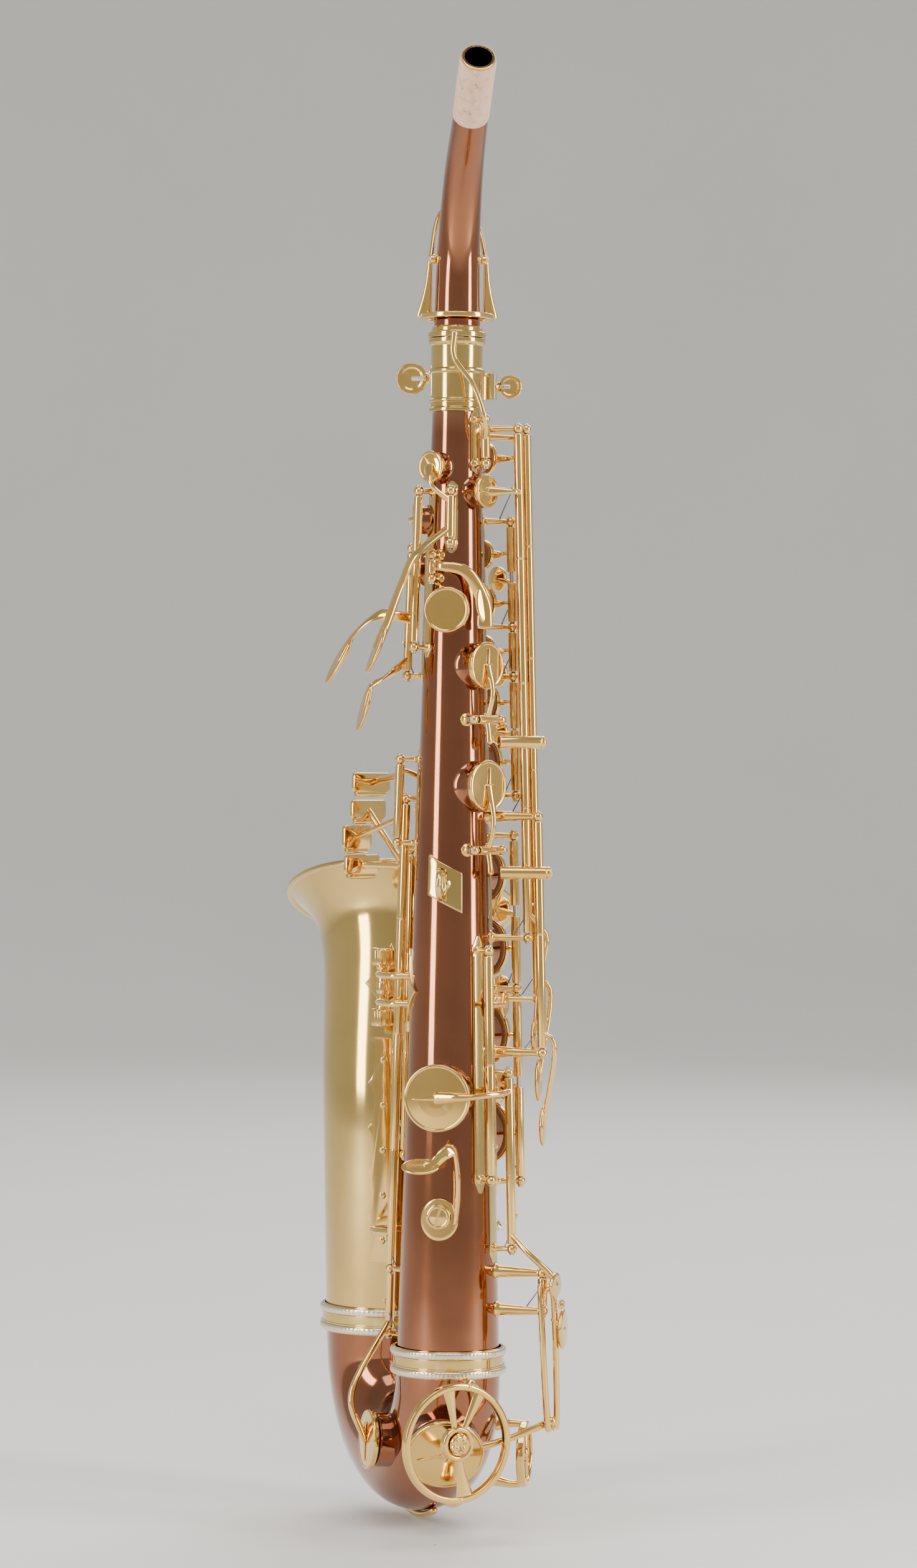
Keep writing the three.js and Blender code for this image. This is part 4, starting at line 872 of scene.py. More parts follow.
def neck():
    pipe = Piece()
    horn(pipe, neck_place, neck_radius, lambda s: neck_radius(s) - WALL, copper, 72, 72)
    pipe.make("neck_pipe", "neck", "neck_tube")
    trim = Piece()
    trim.lathe([(10, RECEIVER_TOP - 30), (11, RECEIVER_TOP - 30), (11, RECEIVER_TOP + 0.4),
                (14.6, RECEIVER_TOP + 0.4), (14.6, RECEIVER_TOP + 3), (12.9, RECEIVER_TOP + 3.4),
                (12.9, RECEIVER_TOP + 5.2), (12.2, RECEIVER_TOP + 6.2), (10, RECEIVER_TOP + 6.2),
                (10, RECEIVER_TOP - 30)], AXIS, UP, brass, 96, 0.35)
    hole = neck_place(NECK_HOLE_S)[0]
    lift = neck_top(NECK_HOLE_S, 5) - hole
    trim.lathe([(1.2, 8), (2.9, 8), (2.9, 9.6), (2.4, 10.2), (2.4, lift.length - 2.8),
                (1.2, lift.length - 2.6), (1.2, 8)], hole, lift, gold, 32, 0.2)
    pivot = neck_place(NECK_PIVOT_S)[0]
    for turn in (-1, 1):
        side = along(NECK_AZ) * turn
        trim.lathe([(0, 9.6), (3.2, 9.6), (3.0, 10.9), (1.5, 11.5), (1.2, 13.2), (0, 13.2)], pivot,
                   side, gold, 24, 0.3)
    tip, heading, _ = neck_place(1)
    trim.lathe([(6.7, -1.4), (8.15, -1.4), (8.3, -0.6), (8.05, 0), (6.8, 0), (6.7, -1.4)], tip,
               heading, gold, 64, 0.2)
    trim.make("neck_trim", "neck")
    sleeve = Piece()
    first = 1 - CORK_LENGTH / NECK_LENGTH

    def cork_radius(s):
        end = min(s, 1 - s)
        return CORK_RADIUS - 0.7 * max(0, 1 - end / 0.04) ** 2
    horn(sleeve, lambda s: neck_place(first + s * (0.992 - first)), cork_radius,
         lambda s: neck_radius(first + s * (0.992 - first)) + 0.1, cork, 40, 72)
    sleeve.make("cork_sleeve", "neck", "neck_cork")


def neck_octave_key():
    key = Piece()
    loop = at(0, 0, RECEIVER_TOP + 11)
    key.lathe(band(15.8, 18.6, -1.3, 1.3), loop, UP, gold, 96, 0.55)
    pivot = neck_place(NECK_PIVOT_S)[0]
    for turn in (-1, 1):
        side = along(NECK_AZ) * turn
        low, high = loop + side * 16.6, pivot + side * 14.1
        key.sweep([low, low.lerp(high, 0.5) - side * 0.4, high],
                  lambda t: (2.7 * (1 - t) ** 2 + 1.3, 1.2), gold, normal=out(NECK_AZ))
        rear = neck_top(0.34, 5) + side * 9.5
        key.sweep([high, rear, neck_top(NECK_HOLE_S, 7)], lambda t: (1.7 - 0.3 * t, 1.15), gold,
                  normal=side + UP * 0.2)
        key.lathe([(1.4, 11.8), (2.5, 11.8), (2.5, 14.2), (1.6, 14.7), (0, 14.7)], pivot, side,
                  gold, 32, 0.35)
        key.lathe([(0, 14.3), (1.5, 14.3), (1.5, 15.0), (1.1, 15.3), (0, 15.3)], pivot, side, steel,
                  20, 0.15)
    rise = neck_top(NECK_HOLE_S, 9) - neck_top(NECK_HOLE_S, 2)
    key.lathe([(0, 0.1), (3.4, 0.1), (3.6, 0.9), (0, 0.9)], neck_top(NECK_HOLE_S, 2.8), rise,
              leather, 40, 0.2)
    key.lathe([(3.3, 0.6), (4, 0.6), (4, 2.7), (3.1, 3.7), (1.8, 4.3), (0, 4.4)],
              neck_top(NECK_HOLE_S, 2.8), rise, gold, 40, 0.3)
    key.make("octave_key_on_neck", "neck_octave_key", "neck_octave_key")


neck()
neck_octave_key()


# ---- receiver, its clamp and the lyre holder ----
def knurled(piece, face, axis, radius, thickness, material=gold):
    """A thumb screw's head: milled edge, dished faces."""
    piece.lathe([(0, -thickness / 2 + 0.4), (radius * 0.62, -thickness / 2 + 0.4),
                 (radius * 0.74, -thickness / 2), (radius - 0.4, -thickness / 2),
                 (radius, -thickness / 2 + 0.5), (radius, thickness / 2 - 0.5),
                 (radius - 0.4, thickness / 2), (radius * 0.74, thickness / 2),
                 (radius * 0.62, thickness / 2 - 0.4), (0, thickness / 2 - 0.4)], face, axis,
                material, 144, 0.12,
                ridges=milling(0.22, 0.45 - thickness / 2, thickness / 2 - 0.45))


def thumb_screw(name, node, start, end, head):
    screw = Piece()
    axis = (end - start).normalized()
    screw.rod(start, end, 1.6, steel, sides=24)
    for i in range(9):
        screw.lathe([(1.55, 0), (1.72, 0.3), (1.55, 0.6)], end - axis * (1 + i * 0.8), axis, steel,
                    24, 0)
    knurled(screw, start, out(0), head, 2.6)
    screw.lathe([(3.0, head - 1), (2.9, head - 0.4), (2.1, head + 1), (0, head + 1)], start, axis,
                gold, 40, 0.3)
    screw.make(name, node, node, slot="gold")


def receiver():
    sleeve = Piece()
    bore, r, z = 11.3, RECEIVER_RADIUS, TUBE_TOP + 0.3
    clamp = Vector((0, AXIS_Y + 17, 255))
    sleeve.lathe([(bore, z), (r + 0.9, z), (r + 0.9, z + 1.6), (r, z + 2.2), (r, 241),
                  (r + 0.7, 241.4), (r + 0.7, 242.4), (r, 242.8), (r, 255.4), (r + 1.0, 255.9),
                  (r + 1.2, 256.7), (r + 1.0, 257.5), (r, 258), (r, RECEIVER_TOP - 3.6),
                  (r + 0.7, RECEIVER_TOP - 3.2), (r + 1.4, RECEIVER_TOP - 2),
                  (r + 1.4, RECEIVER_TOP), (bore, RECEIVER_TOP), (bore, z)],
                 AXIS, UP, brass, 128, 0.25)
    for x in (-4, 4):
        lug = clamp + RIGHT * x
        sleeve.lathe(band(2.2, 5.4, -1.6, 1.6), lug, RIGHT, brass, 48, 0.4)
        sleeve.slab(oblong(1.6, 5.4), 5,
                    Vector((x, AXIS_Y + 11.6, 255)), Vector((0, 1, 0)), UP, brass, 0.4)
    cut = Piece()
    cut.slab(oblong(0.7, 13), 14, Vector((0, AXIS_Y + 8, 262)),
             Vector((0, 1, 0)), UP, brass, 0.01)
    sleeve.make("receiver", "root", "neck_receiver", cut=cut)
    thumb_screw("clamp_screw", "neck_clamp_screw", clamp - RIGHT * 26.5,
                clamp + RIGHT * 6, 8)
    lyre = Vector((14.5, AXIS_Y + 13.5, 250))
    holder = Piece()
    holder.slab(oblong(3.5, 6.5), 6, lyre - RIGHT * 3,
                RIGHT, UP, brass, 0.6)
    holder.make("lyre_socket", "root", "lyre_holder")
    thumb_screw("lyre_thumb_screw", "lyre_screw", lyre + RIGHT * 10.5, lyre, 6)


receiver()


# ---- keys: every part's place and size is the CAD's ----
# cup: foot, direction, radius. arm: half thickness, then its points. finger: an arm that ends
# in a pearl facing as the cup does. touch: middle, lengthways, normal, half sizes.
# plate: width, height, middle, normal. barrel: both ends. link: both ends, radius.
# ball: middle, radius.
KEYS = {
    "c_key": [
        ("cup", (8.5, 49.6, 166.1), (0.581, 0.814, 0.004), 7.4),
        ("arm", 1.5, (26.2, 40.8, 166), (21.1, 48.7, 166.1), (10.9, 53, 166.1)),
        ("barrel", (26.4, 40.9, 156.7), (25.8, 40.6, 179.3)),
    ],
    "b_key": [
        ("cup", (8.8, 50.2, 141.1), (0.577, 0.817, 0.004), 9.4),
        ("arm", 1.5, (26.8, 41.1, 141), (21.5, 49.2, 141.1), (11.2, 53.6, 141.1)),
        ("finger", 1.5, (26.6, 41, 148.3), (24.8, 52.6, 151.3), (14.7, 58.4, 154.1)),
        ("barrel", (27.1, 41.2, 131.7), (26.6, 41, 151.3)),
    ],
    "bis_key": [
        ("cup", (9.1, 50.8, 117.1), (0.572, 0.82, 0.004), 8.4),
        ("arm", 1.5, (27.5, 41.4, 117), (22, 49.6, 117.1), (11.5, 54.3, 117.1)),
        ("barrel", (27.7, 41.5, 106.7), (27.2, 41.3, 126.3)),
    ],
    "a_key": [
        ("cup", (9.5, 51.5, 91.1), (0.568, 0.823, 0.004), 10.9),
        ("arm", 1.5, (28.1, 41.7, 91), (22.5, 50.1, 91.1), (11.8, 55, 91.1)),
        ("finger", 1.5, (27.9, 41.6, 98.3), (25.7, 53.6, 102.3), (15.3, 59.7, 106.1)),
        ("barrel", (28.5, 41.9, 78), (27.9, 41.6, 101.3)),
    ],
    "g_key": [
        ("cup", (9.8, 52.3, 61.1), (0.563, 0.826, 0.004), 12.4),
        ("arm", 1.5, (28.9, 42.1, 61), (23.1, 50.7, 61.1), (12.2, 55.7, 61.1)),
        ("finger", 1.5, (28.6, 41.9, 74), (26.1, 54.2, 75.1), (15.6, 60.6, 76.1)),
        ("barrel", (29.3, 42.3, 46.7), (28.5, 41.9, 77)),
    ],
    "fsharp_key": [
        ("cup", (11, 53.5, 4.1), (0.552, 0.834, 0.004), 13.9),
        ("arm", 1.5, (29.5, 39.9, 4), (23.9, 50.1, 4.1), (13.4, 57, 4.1)),
        ("barrel", (29.9, 40.1, -11.3), (29, 39.7, 21.3)),
    ],
    "f_key": [
        ("cup", (11.5, 54.4, -32.9), (0.547, 0.837, 0.004), 14.9),
        ("arm", 1.5, (30.5, 40.3, -33), (24.6, 50.8, -32.9), (13.8, 58, -32.9)),
        ("finger", 1.5, (30.1, 40.2, -19.7), (27.6, 54.4, -16.7), (17, 62.7, -13.9)),
        ("barrel", (31, 40.5, -50.3), (30.1, 40.1, -16.7)),
    ],
    "e_key": [
        ("cup", (12, 55.6, -76.9), (0.541, 0.841, 0.004), 15.4),
        ("arm", 1.5, (31.7, 40.8, -77), (25.5, 51.5, -76.9), (14.3, 59.2, -76.9)),
        ("finger", 1.5, (31.2, 40.6, -58.7), (28.3, 55.3, -56.2), (17.4, 63.9, -53.9)),
        ("barrel", (32.2, 41, -97.3), (31.1, 40.6, -55.7)),
    ],
    "d_key": [
        ("cup", (12.6, 57, -126.9), (0.534, 0.845, 0.003), 15.9),
        ("arm", 1.5, (33, 41.3, -127), (26.5, 52.5, -126.9), (14.8, 60.6, -126.9)),
        ("finger", 1.5, (32.5, 41.1, -105.7), (29.2, 56.2, -104.2), (17.9, 65.2, -102.9)),
        ("barrel", (33.6, 41.6, -147.3), (32.4, 41.1, -102.7)),
    ],
    "palm_f": [
        ("cup", (-8.1, 12.7, 208), (-0.469, -0.883, 0), 7.9),
        ("arm", 1.5, (1.4, 8.1, 190.3), (-7.1, 2.3, 198.3), (-10.1, 9, 208)),
        ("arm", 1.8, (1.4, 7.8, 178), (-15, 2, 163), (-23, 5.8, 148), (-29.8, 7.9, 131),
         (-35.5, 7.5, 117)),
        ("touch", (-35.5, 7.5, 117), (-3.7, -0.2, -9.3), (-9.1, -4.1, 0), (13, 6, 1.8)),
        ("barrel", (1.4, 7.6, 172.7), (1.4, 8.2, 193.3)),
    ],
    "palm_eflat": [
        ("cup", (-17.7, 24.2, 182), (-0.978, -0.208, 0), 8.4),
        ("arm", 1.5, (-16.1, 13.5, 182), (-20.6, 17.5, 182), (-21.8, 23.4, 182)),
        ("arm", 1.8, (-17.2, 12.5, 132), (-36.9, 18.8, 134), (-50.5, 20.9, 124),
         (-57.7, 21.9, 112)),
        ("touch", (-57.7, 21.9, 112), (-5.1, 0.7, -8.6), (-9.1, -4.1, 0), (14, 5.5, 1.8)),
        ("barrel", (-17.4, 12.3, 120.7), (-15.9, 13.7, 193.3)),
    ],
    "palm_d": [
        ("cup", (-15.4, 38.8, 158), (-0.819, 0.574, 0), 8.9),
        ("arm", 1.5, (-22.8, 29.6, 158), (-22.6, 36, 158), (-18.8, 41.2, 158)),
        ("arm", 1.8, (-24.1, 29.7, 112), (-32.3, 21.1, 104), (-41.4, 20.7, 98), (-44.6, 21.7, 88)),
        ("touch", (-44.6, 21.7, 88), (-3, 1, -9.5), (-9.1, -4.1, 0), (13, 6.5, 1.8)),
        ("barrel", (-24.3, 29.7, 106.7), (-22.6, 29.6, 165.3)),
    ],
    "octave_lever": [
        ("arm", 1.9, (-7.8, 8.7, 158), (-1.7, 4.2, 158), (10.5, 6.5, 155), (17.7, 12, 141),
         (18.7, 13.4, 128)),
        ("touch", (18, 12.3, 140), (0.7, 1, -9.9), (7.4, -6.7, 0), (10, 5, 1.4)),
        ("barrel", (-7.9, 8.6, 154.7), (-7.8, 8.7, 161.3)),
    ],
    "octave_rocker": [
        ("arm", 1.4, (16.9, 18.2, 221), (18, 10.6, 232), (12.3, 9.8, 248), (2.7, 8.7, 262),
         (2.7, 8.7, 274.5)),
        ("barrel", (17.1, 18.1, 212.7), (16.7, 18.4, 229.3)),
    ],
    "side_e": [
        ("cup", (15.6, 19.7, 196), (0.883, -0.469, 0), 8.4),
        ("arm", 1.5, (32.2, 29.1, 196), (31.7, 21.2, 196), (19.3, 17.7, 196)),
        ("arm", 1.7, (38.3, 29.3, -14), (47.6, 29.7, -25), (47, 29.6, -36), (44.4, 29.5, -50),
         (42.6, 29.5, -76)),
        ("touch", (42.6, 29.5, -76), (0, 0, 10), (10, 0, 0), (9, 5.5, 1.9)),
        ("barrel", (38.6, 29.3, -24.3), (31.4, 29.1, 225.3)),
    ],
    "side_c": [
        ("barrel", (16, 10, 82), (23.2, 21.5, 82)),
        ("cup", (17.1, 17.3, 109), (0.848, -0.53, 0), 11.9),
        ("arm", 1.5, (19.6, 15.8, 82), (22.6, 13.9, 95), (20.7, 15.1, 109)),
        ("arm", 1.7, (19.6, 15.8, 82), (21.1, 14.8, 71)),
    ],
    "side_bflat": [
        ("barrel", (17.2, 8.7, 17), (24.6, 20.1, 17)),
        ("cup", (18.4, 16.1, 49), (0.839, -0.545, 0), 12.9),
        ("arm", 1.5, (20.9, 14.4, 17), (24, 12.4, 30), (21.9, 13.8, 49)),
        ("arm", 1.7, (20.9, 14.4, 17), (22.5, 13.4, 6)),
    ],
    "side_c_rod": [
        ("arm", 1.9, (39.1, 34.9, 71), (46.6, 24.7, 71)),
        ("link", (46.6, 24.7, 71), (25.9, 14.2, 71), 3.2),
        ("touch", (44.7, 30.3, -98), (0, 0, 10), (10, 0, 0), (11, 5.5, 1.9)),
        ("arm", 1.6, (42.5, 35.5, -47.3), (49.1, 36.7, -56.3), (44.7, 30.3, -98)),
        ("barrel", (42.7, 35.5, -55.3), (34.7, 34.1, 225.3)),
    ],
    "side_bflat_rod": [
        ("arm", 1.9, (45, 23.3, 6), (51.5, 18.9, 6)),
        ("link", (51.5, 18.9, 6), (27.3, 12.8, 6), 3.2),
        ("touch", (47.5, 28, -121), (0, 0, 10), (10, 0, 0), (10, 5.5, 1.9)),
        ("arm", 1.6, (47.3, 23, -73.3), (54, 22.3, -82.3), (47.5, 28, -121)),
        ("barrel", (47.5, 23, -81.3), (44.3, 23.3, 31.3)),
    ],
    "high_fsharp": [
        ("cup", (11.5, 40.7, 214), (0.669, 0.743, 0), 7.9),
        ("arm", 1.5, (30.2, 37.8, 214), (25, 42.8, 214), (14.3, 43.9, 214)),
        ("arm", 1.7, (34.9, 39.3, 42), (35.4, 53.7, 40)),
        ("touch", (34.5, 55, 38), (0, 0, 10), (6.4, 7.7, 0), (8, 4.5, 1.7)),
        ("barrel", (35.1, 39.4, 36.7), (30, 37.7, 221.3)),
    ],
    "fsharp_trill": [
        ("arm", 1.6, (23, 10, -60), (29.2, 18.5, -60)),
        ("touch", (29, 19.7, -60), (0, 0, 10), (9.6, -2.8, 0), (7, 4, 1.5)),
        ("barrel", (24.9, 8.5, -144.3), (22.4, 10.5, -35.7)),
    ],
    "low_eflat_key": [
        ("cup", (-0.9, 1.6, -106), (-0.035, -0.999, 0), 16.9),
        ("arm", 1.7, (31.5, 20.2, -103), (29.9, 6.3, -103.5), (14.8, -5.3, -105), (-1.1, -3, -106)),
        ("arm", 1.9, (33.5, 19.6, -175), (43, 14, -183), (53.9, 14.6, -193), (56.5, 16, -199)),
        ("touch", (56.5, 16, -199), (0, 0, 10), (9.9, -1.4, 0), (6.5, 8, 1.9)),
        ("barrel", (33.6, 19.6, -179.3), (31.3, 20.2, -96.7)),
    ],
    "low_c_key": [
        ("arm", 1.9, (48.7, 23.7, -204), (48.7, 18.4, -205), (52.5, 18.2, -266),
         (53.5, 23.6, -268)),
        ("arm", 1.9, (48.7, 23.7, -204), (54.1, 23.8, -205), (56.4, 23.7, -266),
         (53.5, 23.6, -268)),
        ("ball", (53.5, 23.6, -268), 3.2),
        ("cup", (4.5, -0.7, -281.2), (0.244, -0.866, -0.437), 19.5),
        ("arm", 1.9, (53.5, 23.6, -268), (33, 6.7, -275.5), (5.5, -4.3, -283.1)),
        ("touch", (59.1, 23.8, -221.5), (0, 0, 10), (10, -0.4, 0), (10, 8, 1.9)),
        ("arm", 1.8, (54.4, 23.7, -217), (59.1, 23.8, -221.5)),
        ("barrel", (48.9, 23.7, -210.3), (48.5, 23.8, -196.7)),
    ],
    "low_csharp_key": [
        ("cup", (-38.7, 28.6, -281.2), (-0.884, -0.464, 0.051), 15),
        ("arm", 2, (-35.1, 50, -224), (-48.4, 23.7, -256.9), (-42.4, 26.7, -280.9)),
        ("arm", 1.9, (-29.4, 46.4, 8.3), (-51.4, 62.7, 36)),
        ("plate", 26, 10, (-50.3, 62.1, 36), (-8.8, 4.7, 0)),
        ("barrel", (-35.2, 50, -227.3), (-29.3, 46.3, 14.3)),
    ],
    "low_b_key": [
        ("cup", (-4.3, 107, -178.1), (0.986, -0.168, -0), 21.5),
        ("arm", 2, (-32, 38.4, -178), (-42.2, 45.9, -178), (-40, 58.6, -178), (2.6, 77.9, -178.1),
         (12.6, 90.7, -178.1), (-0.1, 106.3, -178.1)),
        ("arm", 1.9, (-26.1, 36.5, 33.3), (-55.5, 55.1, 22)),
        ("plate", 20, 12, (-54.4, 54.4, 22), (-8.5, 5.3, 0)),
        ("barrel", (-32.4, 38.5, -193.3), (-26, 36.4, 39.3)),
    ],
    "low_bflat_key": [
        ("cup", (-2.8, 106.9, -112.1), (0.982, -0.191, -0.002), 22.5),
        ("arm", 2, (-29.3, 58.4, -112), (-23, 69.1, -112), (5.1, 75, -112.1), (14.4, 89.3, -112.1),
         (1.3, 106.1, -112.1)),
        ("arm", 1.9, (-26.9, 55.9, 7.3), (-53.7, 59, 8)),
        ("plate", 24, 10, (-52.6, 58.3, 8), (-8.4, 5.4, 0)),
        ("barrel", (-29.8, 58.9, -137.3), (-26.8, 55.7, 13.3)),
    ],
    "gsharp_key": [
        ("cup", (-11.1, 47.3, 36), (-0.5, 0.866, 0), 12.4),
        ("arm", 1.5, (-27.3, 28, 56), (-30.9, 40.5, 57), (-21.7, 52.1, 52), (-13.2, 50.9, 36)),
        ("arm", 1.9, (-27.4, 28, 54), (-49.2, 58.7, 50)),
        ("plate", 28, 10, (-48, 58.1, 50), (-8.8, 4.7, 0)),
        ("barrel", (-28.3, 28, 22.7), (-27.2, 28, 59.3)),
    ],
}

def key_cup(piece, foot, direction, radius):
    """A key cup: stepped rim, slightly domed face, leather pad and its resonator."""
    r = radius
    piece.lathe([(0, 0.05), (r * 0.5, 0.0), (r - 1.6, 0.0), (r - 0.75, 0.35), (r - 0.6, 1.3),
                 (0, 1.3)],
                foot, direction, leather, 56, 0.3)
    if r > 9:
        piece.lathe([(0, -0.25), (r * 0.3, -0.2), (r * 0.42, 0.1), (0, 0.1)], foot, direction,
                    brass, 40, 0.1)
    piece.lathe([(r - 0.7, 0.7), (r, 0.75), (r, 2.7), (r - 0.35, 3.25), (r - 1.1, 3.4),
                 (r - 1.6, 3.1), (r - 2.1, 3.15), (r * 0.55, 3.5), (r * 0.3, 3.62), (0, 3.65)],
                foot, direction, gold, 64, 0.22)


def arm_size(radius, tip):
    def size(t):
        wide = radius * (1.15 - 0.25 * math.sin(math.pi * t))
        if tip and t > 0.6:
            wide *= 1 + 0.5 * math.sin(math.pi * (t - 0.6) / 0.8)
        return wide, radius * 0.82
    return size


# Flat, wide levers: half their widths at both ends and half their thickness.
RIBBONS = {"palm_f": (2.6, 3.7, 1.1), "palm_eflat": (2.8, 3.9, 1.1), "palm_d": (2.6, 3.8, 1.1),
           "octave_lever": (2.0, 3.9, 0.95)}


def ribbon_size(first, last, thick):
    return lambda t: (first + (last - first) * t * t * (3 - 2 * t), thick)


def pointed_tongue(piece, centre, direction, heading, radius):
    """The arm's pointed end, soldered across the cup's face."""
    flat = (heading - direction * heading.dot(direction))
    if flat.length < 0.05:
        return
    flat.normalize()
    start, end = centre - flat * radius * 0.55, centre + flat * radius * 0.72
    piece.sweep([start - direction * 0.1, centre - direction * 0.1, end - direction * 0.4],
                lambda t: (0.25 + 1.9 * (1 - t) ** 0.8 * min(1, 0.5 + t * 2), 0.62 - 0.25 * t),
                gold, normal=direction)


def barrel(piece, a, b):
    length = (b - a).length
    n = max(1, round(length / 60))
    profile = [(1.5, 0), (HINGE, 0)]
    for i in range(1, n):
        h = length * i / n
        profile += [(HINGE, h - 0.5), (HINGE - 0.25, h), (HINGE, h + 0.5)]
    profile += [(HINGE, length), (1.5, length)]
    piece.lathe(profile, a, b - a, gold, 28, 0.3)


def rounded_outline(width, height, radius, steps=5):
    points = []
    for cx, cy, start in ((1, 1, 0), (-1, 1, 90), (-1, -1, 180), (1, -1, 270)):
        for i in range(steps + 1):
            a = math.radians(start + 90 * i / steps)
            points.append((cx * (width / 2 - radius) + radius * math.cos(a),
                           cy * (height / 2 - radius) + radius * math.sin(a)))
    return points


def table_plate(piece, width, height, point, normal):
    n = normal.normalized()
    piece.slab(rounded_outline(width, height, 2.2), 2.4, point, n, UP, gold, 0.6)
    piece.slab(rounded_outline(width - 3, height - 3, 1.4), 0.5, point + n * 2.1, n, UP, gold, 0.25)
    across = UP.cross(n).normalized()
    low = point + n * 1.9 - UP * (height / 2 + 0.9)
    piece.rod(low - across * (width / 2 - 2.5), low + across * (width / 2 - 2.5), 1.5, gold,
              sides=32)
    piece.rod(low - across * (width / 2 - 1), low + across * (width / 2 - 1), 0.6, steel, sides=16)


def touch(piece, centre, lengthways, normal, size):
    piece.pad_shape(centre, lengthways, normal, size, gold, dish=0.55)


def pearl_cup(piece, point, direction):
    piece.lathe([(0, -1), (2.2, -0.9), (5.9, 0.6), (6.3, 1.0), (6.3, 2.4), (5.6, 2.5), (5.5, 2.0)],
                point, direction, gold, 48, 0.25)
    piece.lathe([(5.6, 1.8), (5.5, 2.35), (4.6, 2.55), (2.5, 2.3), (0, 2.2)], point, direction,
                pearl, 48, 0.3)


def link(piece, a, b, r):
    length = (b - a).length
    piece.lathe([(0, 0), (r, 0), (r, 1.6), (r - 0.35, 1.9), (r, 2.2), (r, length),
                 (r * 0.55, length), (0, length - 0.5)], a, b - a, gold, 48, 0.45)


def ball(piece, centre, radius):
    piece.ball(centre, radius, gold)


def arm(piece, node, cups, radius, points):
    ends_on_cup = False
    for foot, direction, wide in cups:
        centre = foot + direction * CUP_TOP
        if (points[-1] - centre).length < CUP_REACH:
            ends_on_cup = True
            pointed_tongue(piece, centre, direction, points[-1] - points[-2], wide)
    middle = points[len(points) // 2]
    size = arm_size(radius, ends_on_cup)
    if node in RIBBONS and not ends_on_cup:
        size = ribbon_size(*RIBBONS[node])
    piece.sweep(points, size, gold, normal=Vector((middle.x, middle.y - AXIS_Y, 0)), count=10)


MAKERS = {"barrel": barrel, "cup": key_cup, "touch": touch,
          "plate": table_plate, "ball": ball, "link": link}


def key_piece(node, parts):
    piece = Piece()
    parts = [(kind, [Vector(v) if isinstance(v, tuple) else v for v in values])
             for kind, *values in parts]
    cups = [values for kind, values in parts if kind == "cup"]
    for kind, values in parts:
        if kind in ("arm", "finger"):
            arm(piece, node, cups, values[0], values[1:])
            if kind == "finger":
                pearl_cup(piece, values[-1], cups[0][1])
        else:
            MAKERS[kind](piece, *values)
    piece.make(node + "_piece", BODY_OF[node], node, slot="gold")


for node, parts in KEYS.items():
    key_piece(node, parts)


# ---- fittings: the CAD's heights and bearings ----
THUMB_REST_Z = 136.6
HOOK_Z = -165
BRACE_Z = -54
BRACE_PIN = Vector((-40.3, 50.5, BRACE_Z))
BRACE_TUBE_AZ = -84
BRACE_BELL_AZ = 7.5
KEY_GUARD_AZ = 4
KEY_GUARD_Z = -139
C_GUARD_AZ = 40
SIDE_GUARD_AZ = 92
SIDE_GUARD_Z = -288


def wrapped_plate(piece, outline, az, z, gap, thickness, material):
    """A plate that lies round the tube, from an outline of (across, up) pairs."""
    levels = 10
    edge = 0.35
    rings = [(0, 1.0, 0), (0, 1.0, thickness - edge), (0, 0.985, thickness - 0.1)]
    rings += [(k, 0.96, thickness) for k in range(levels + 1)]
    laid = []
    for k, scale, lift in rings:
        ring = []
        for across, rise in outline:
            x, y = across * (1 - k / levels), rise * (1 - k / levels)
            zz = z + y * scale
            r = tube_radius(zz) + gap + lift
            ring.append(at(az + math.degrees(x * scale / (tube_radius(z) + gap)), r, zz))
        laid.append(ring)
    piece.skin(laid, material)


def diamond(height, width, steps=9):
    corners = [(0, height / 2), (width / 2, 0), (0, -height / 2), (-width / 2, 0)]
    outline = []
    for a, b in zip(corners, corners[1:] + corners[:1]):
        bend = ((a[0] + b[0]) * 0.3, (a[1] + b[1]) * 0.2 * 2)
        for i in range(steps):
            t = i / steps
            outline.append(tuple(a[k] * (1 - t) ** 2 + bend[k] * 2 * t * (1 - t) + b[k] * t ** 2
                                 for k in (0, 1)))
    return outline


def slanted(height, width, slant, steps=6):
    corners = [(-width / 2, height / 2), (width / 2, height / 2 - slant),
               (width / 2, -height / 2), (-width / 2, slant - height / 2)]
    outline = []
    for a, b in zip(corners, corners[1:] + corners[:1]):
        outline += [tuple(a[k] + (b[k] - a[k]) * i / steps for k in (0, 1)) for i in range(steps)]
    return outline


def strap_ring():
    piece = Piece()
    wrapped_plate(piece, slanted(29, 17, 9), 0, 0, 0.05, 1.4, brass)
    piece.lathe(bead(6.9, 1.5), Vector((0, 0, 0)), RIGHT, brass, 64, 0)
    base = AXIS_Y - tube_radius(0)
    piece.lathe([(0, -1.0), (4.6, -1.0), (3.2, 0.6), (2.3, 1.6), (2.3, base - 7.2),
                 (1.2, base - 6.4), (0, base - 6.4)],
                Vector((0, base - 0.6, 0)), Vector((0, -1, 0)), brass, 40, 0.5)
    piece.make("sling_ring", "root", "strap_ring")


def thumb_rest():
    piece = Piece()
    r = 11.6
    piece.lathe([(0, 0.6), (r - 3.4, 0.6), (r - 2.6, 1.6), (r - 0.3, 2.6), (r, 3.4), (r, 5.2),
                 (r - 0.4, 6.0), (r - 1.1, 6.2), (r - 1.6, 5.75), (r - 2.2, 5.7), (r * 0.5, 5.95),
                 (0, 6.0)],
                on(0, 0, THUMB_REST_Z), out(0), gold, 96, 0.3)
    piece.make("thumb_plate", "root", "thumb_rest")


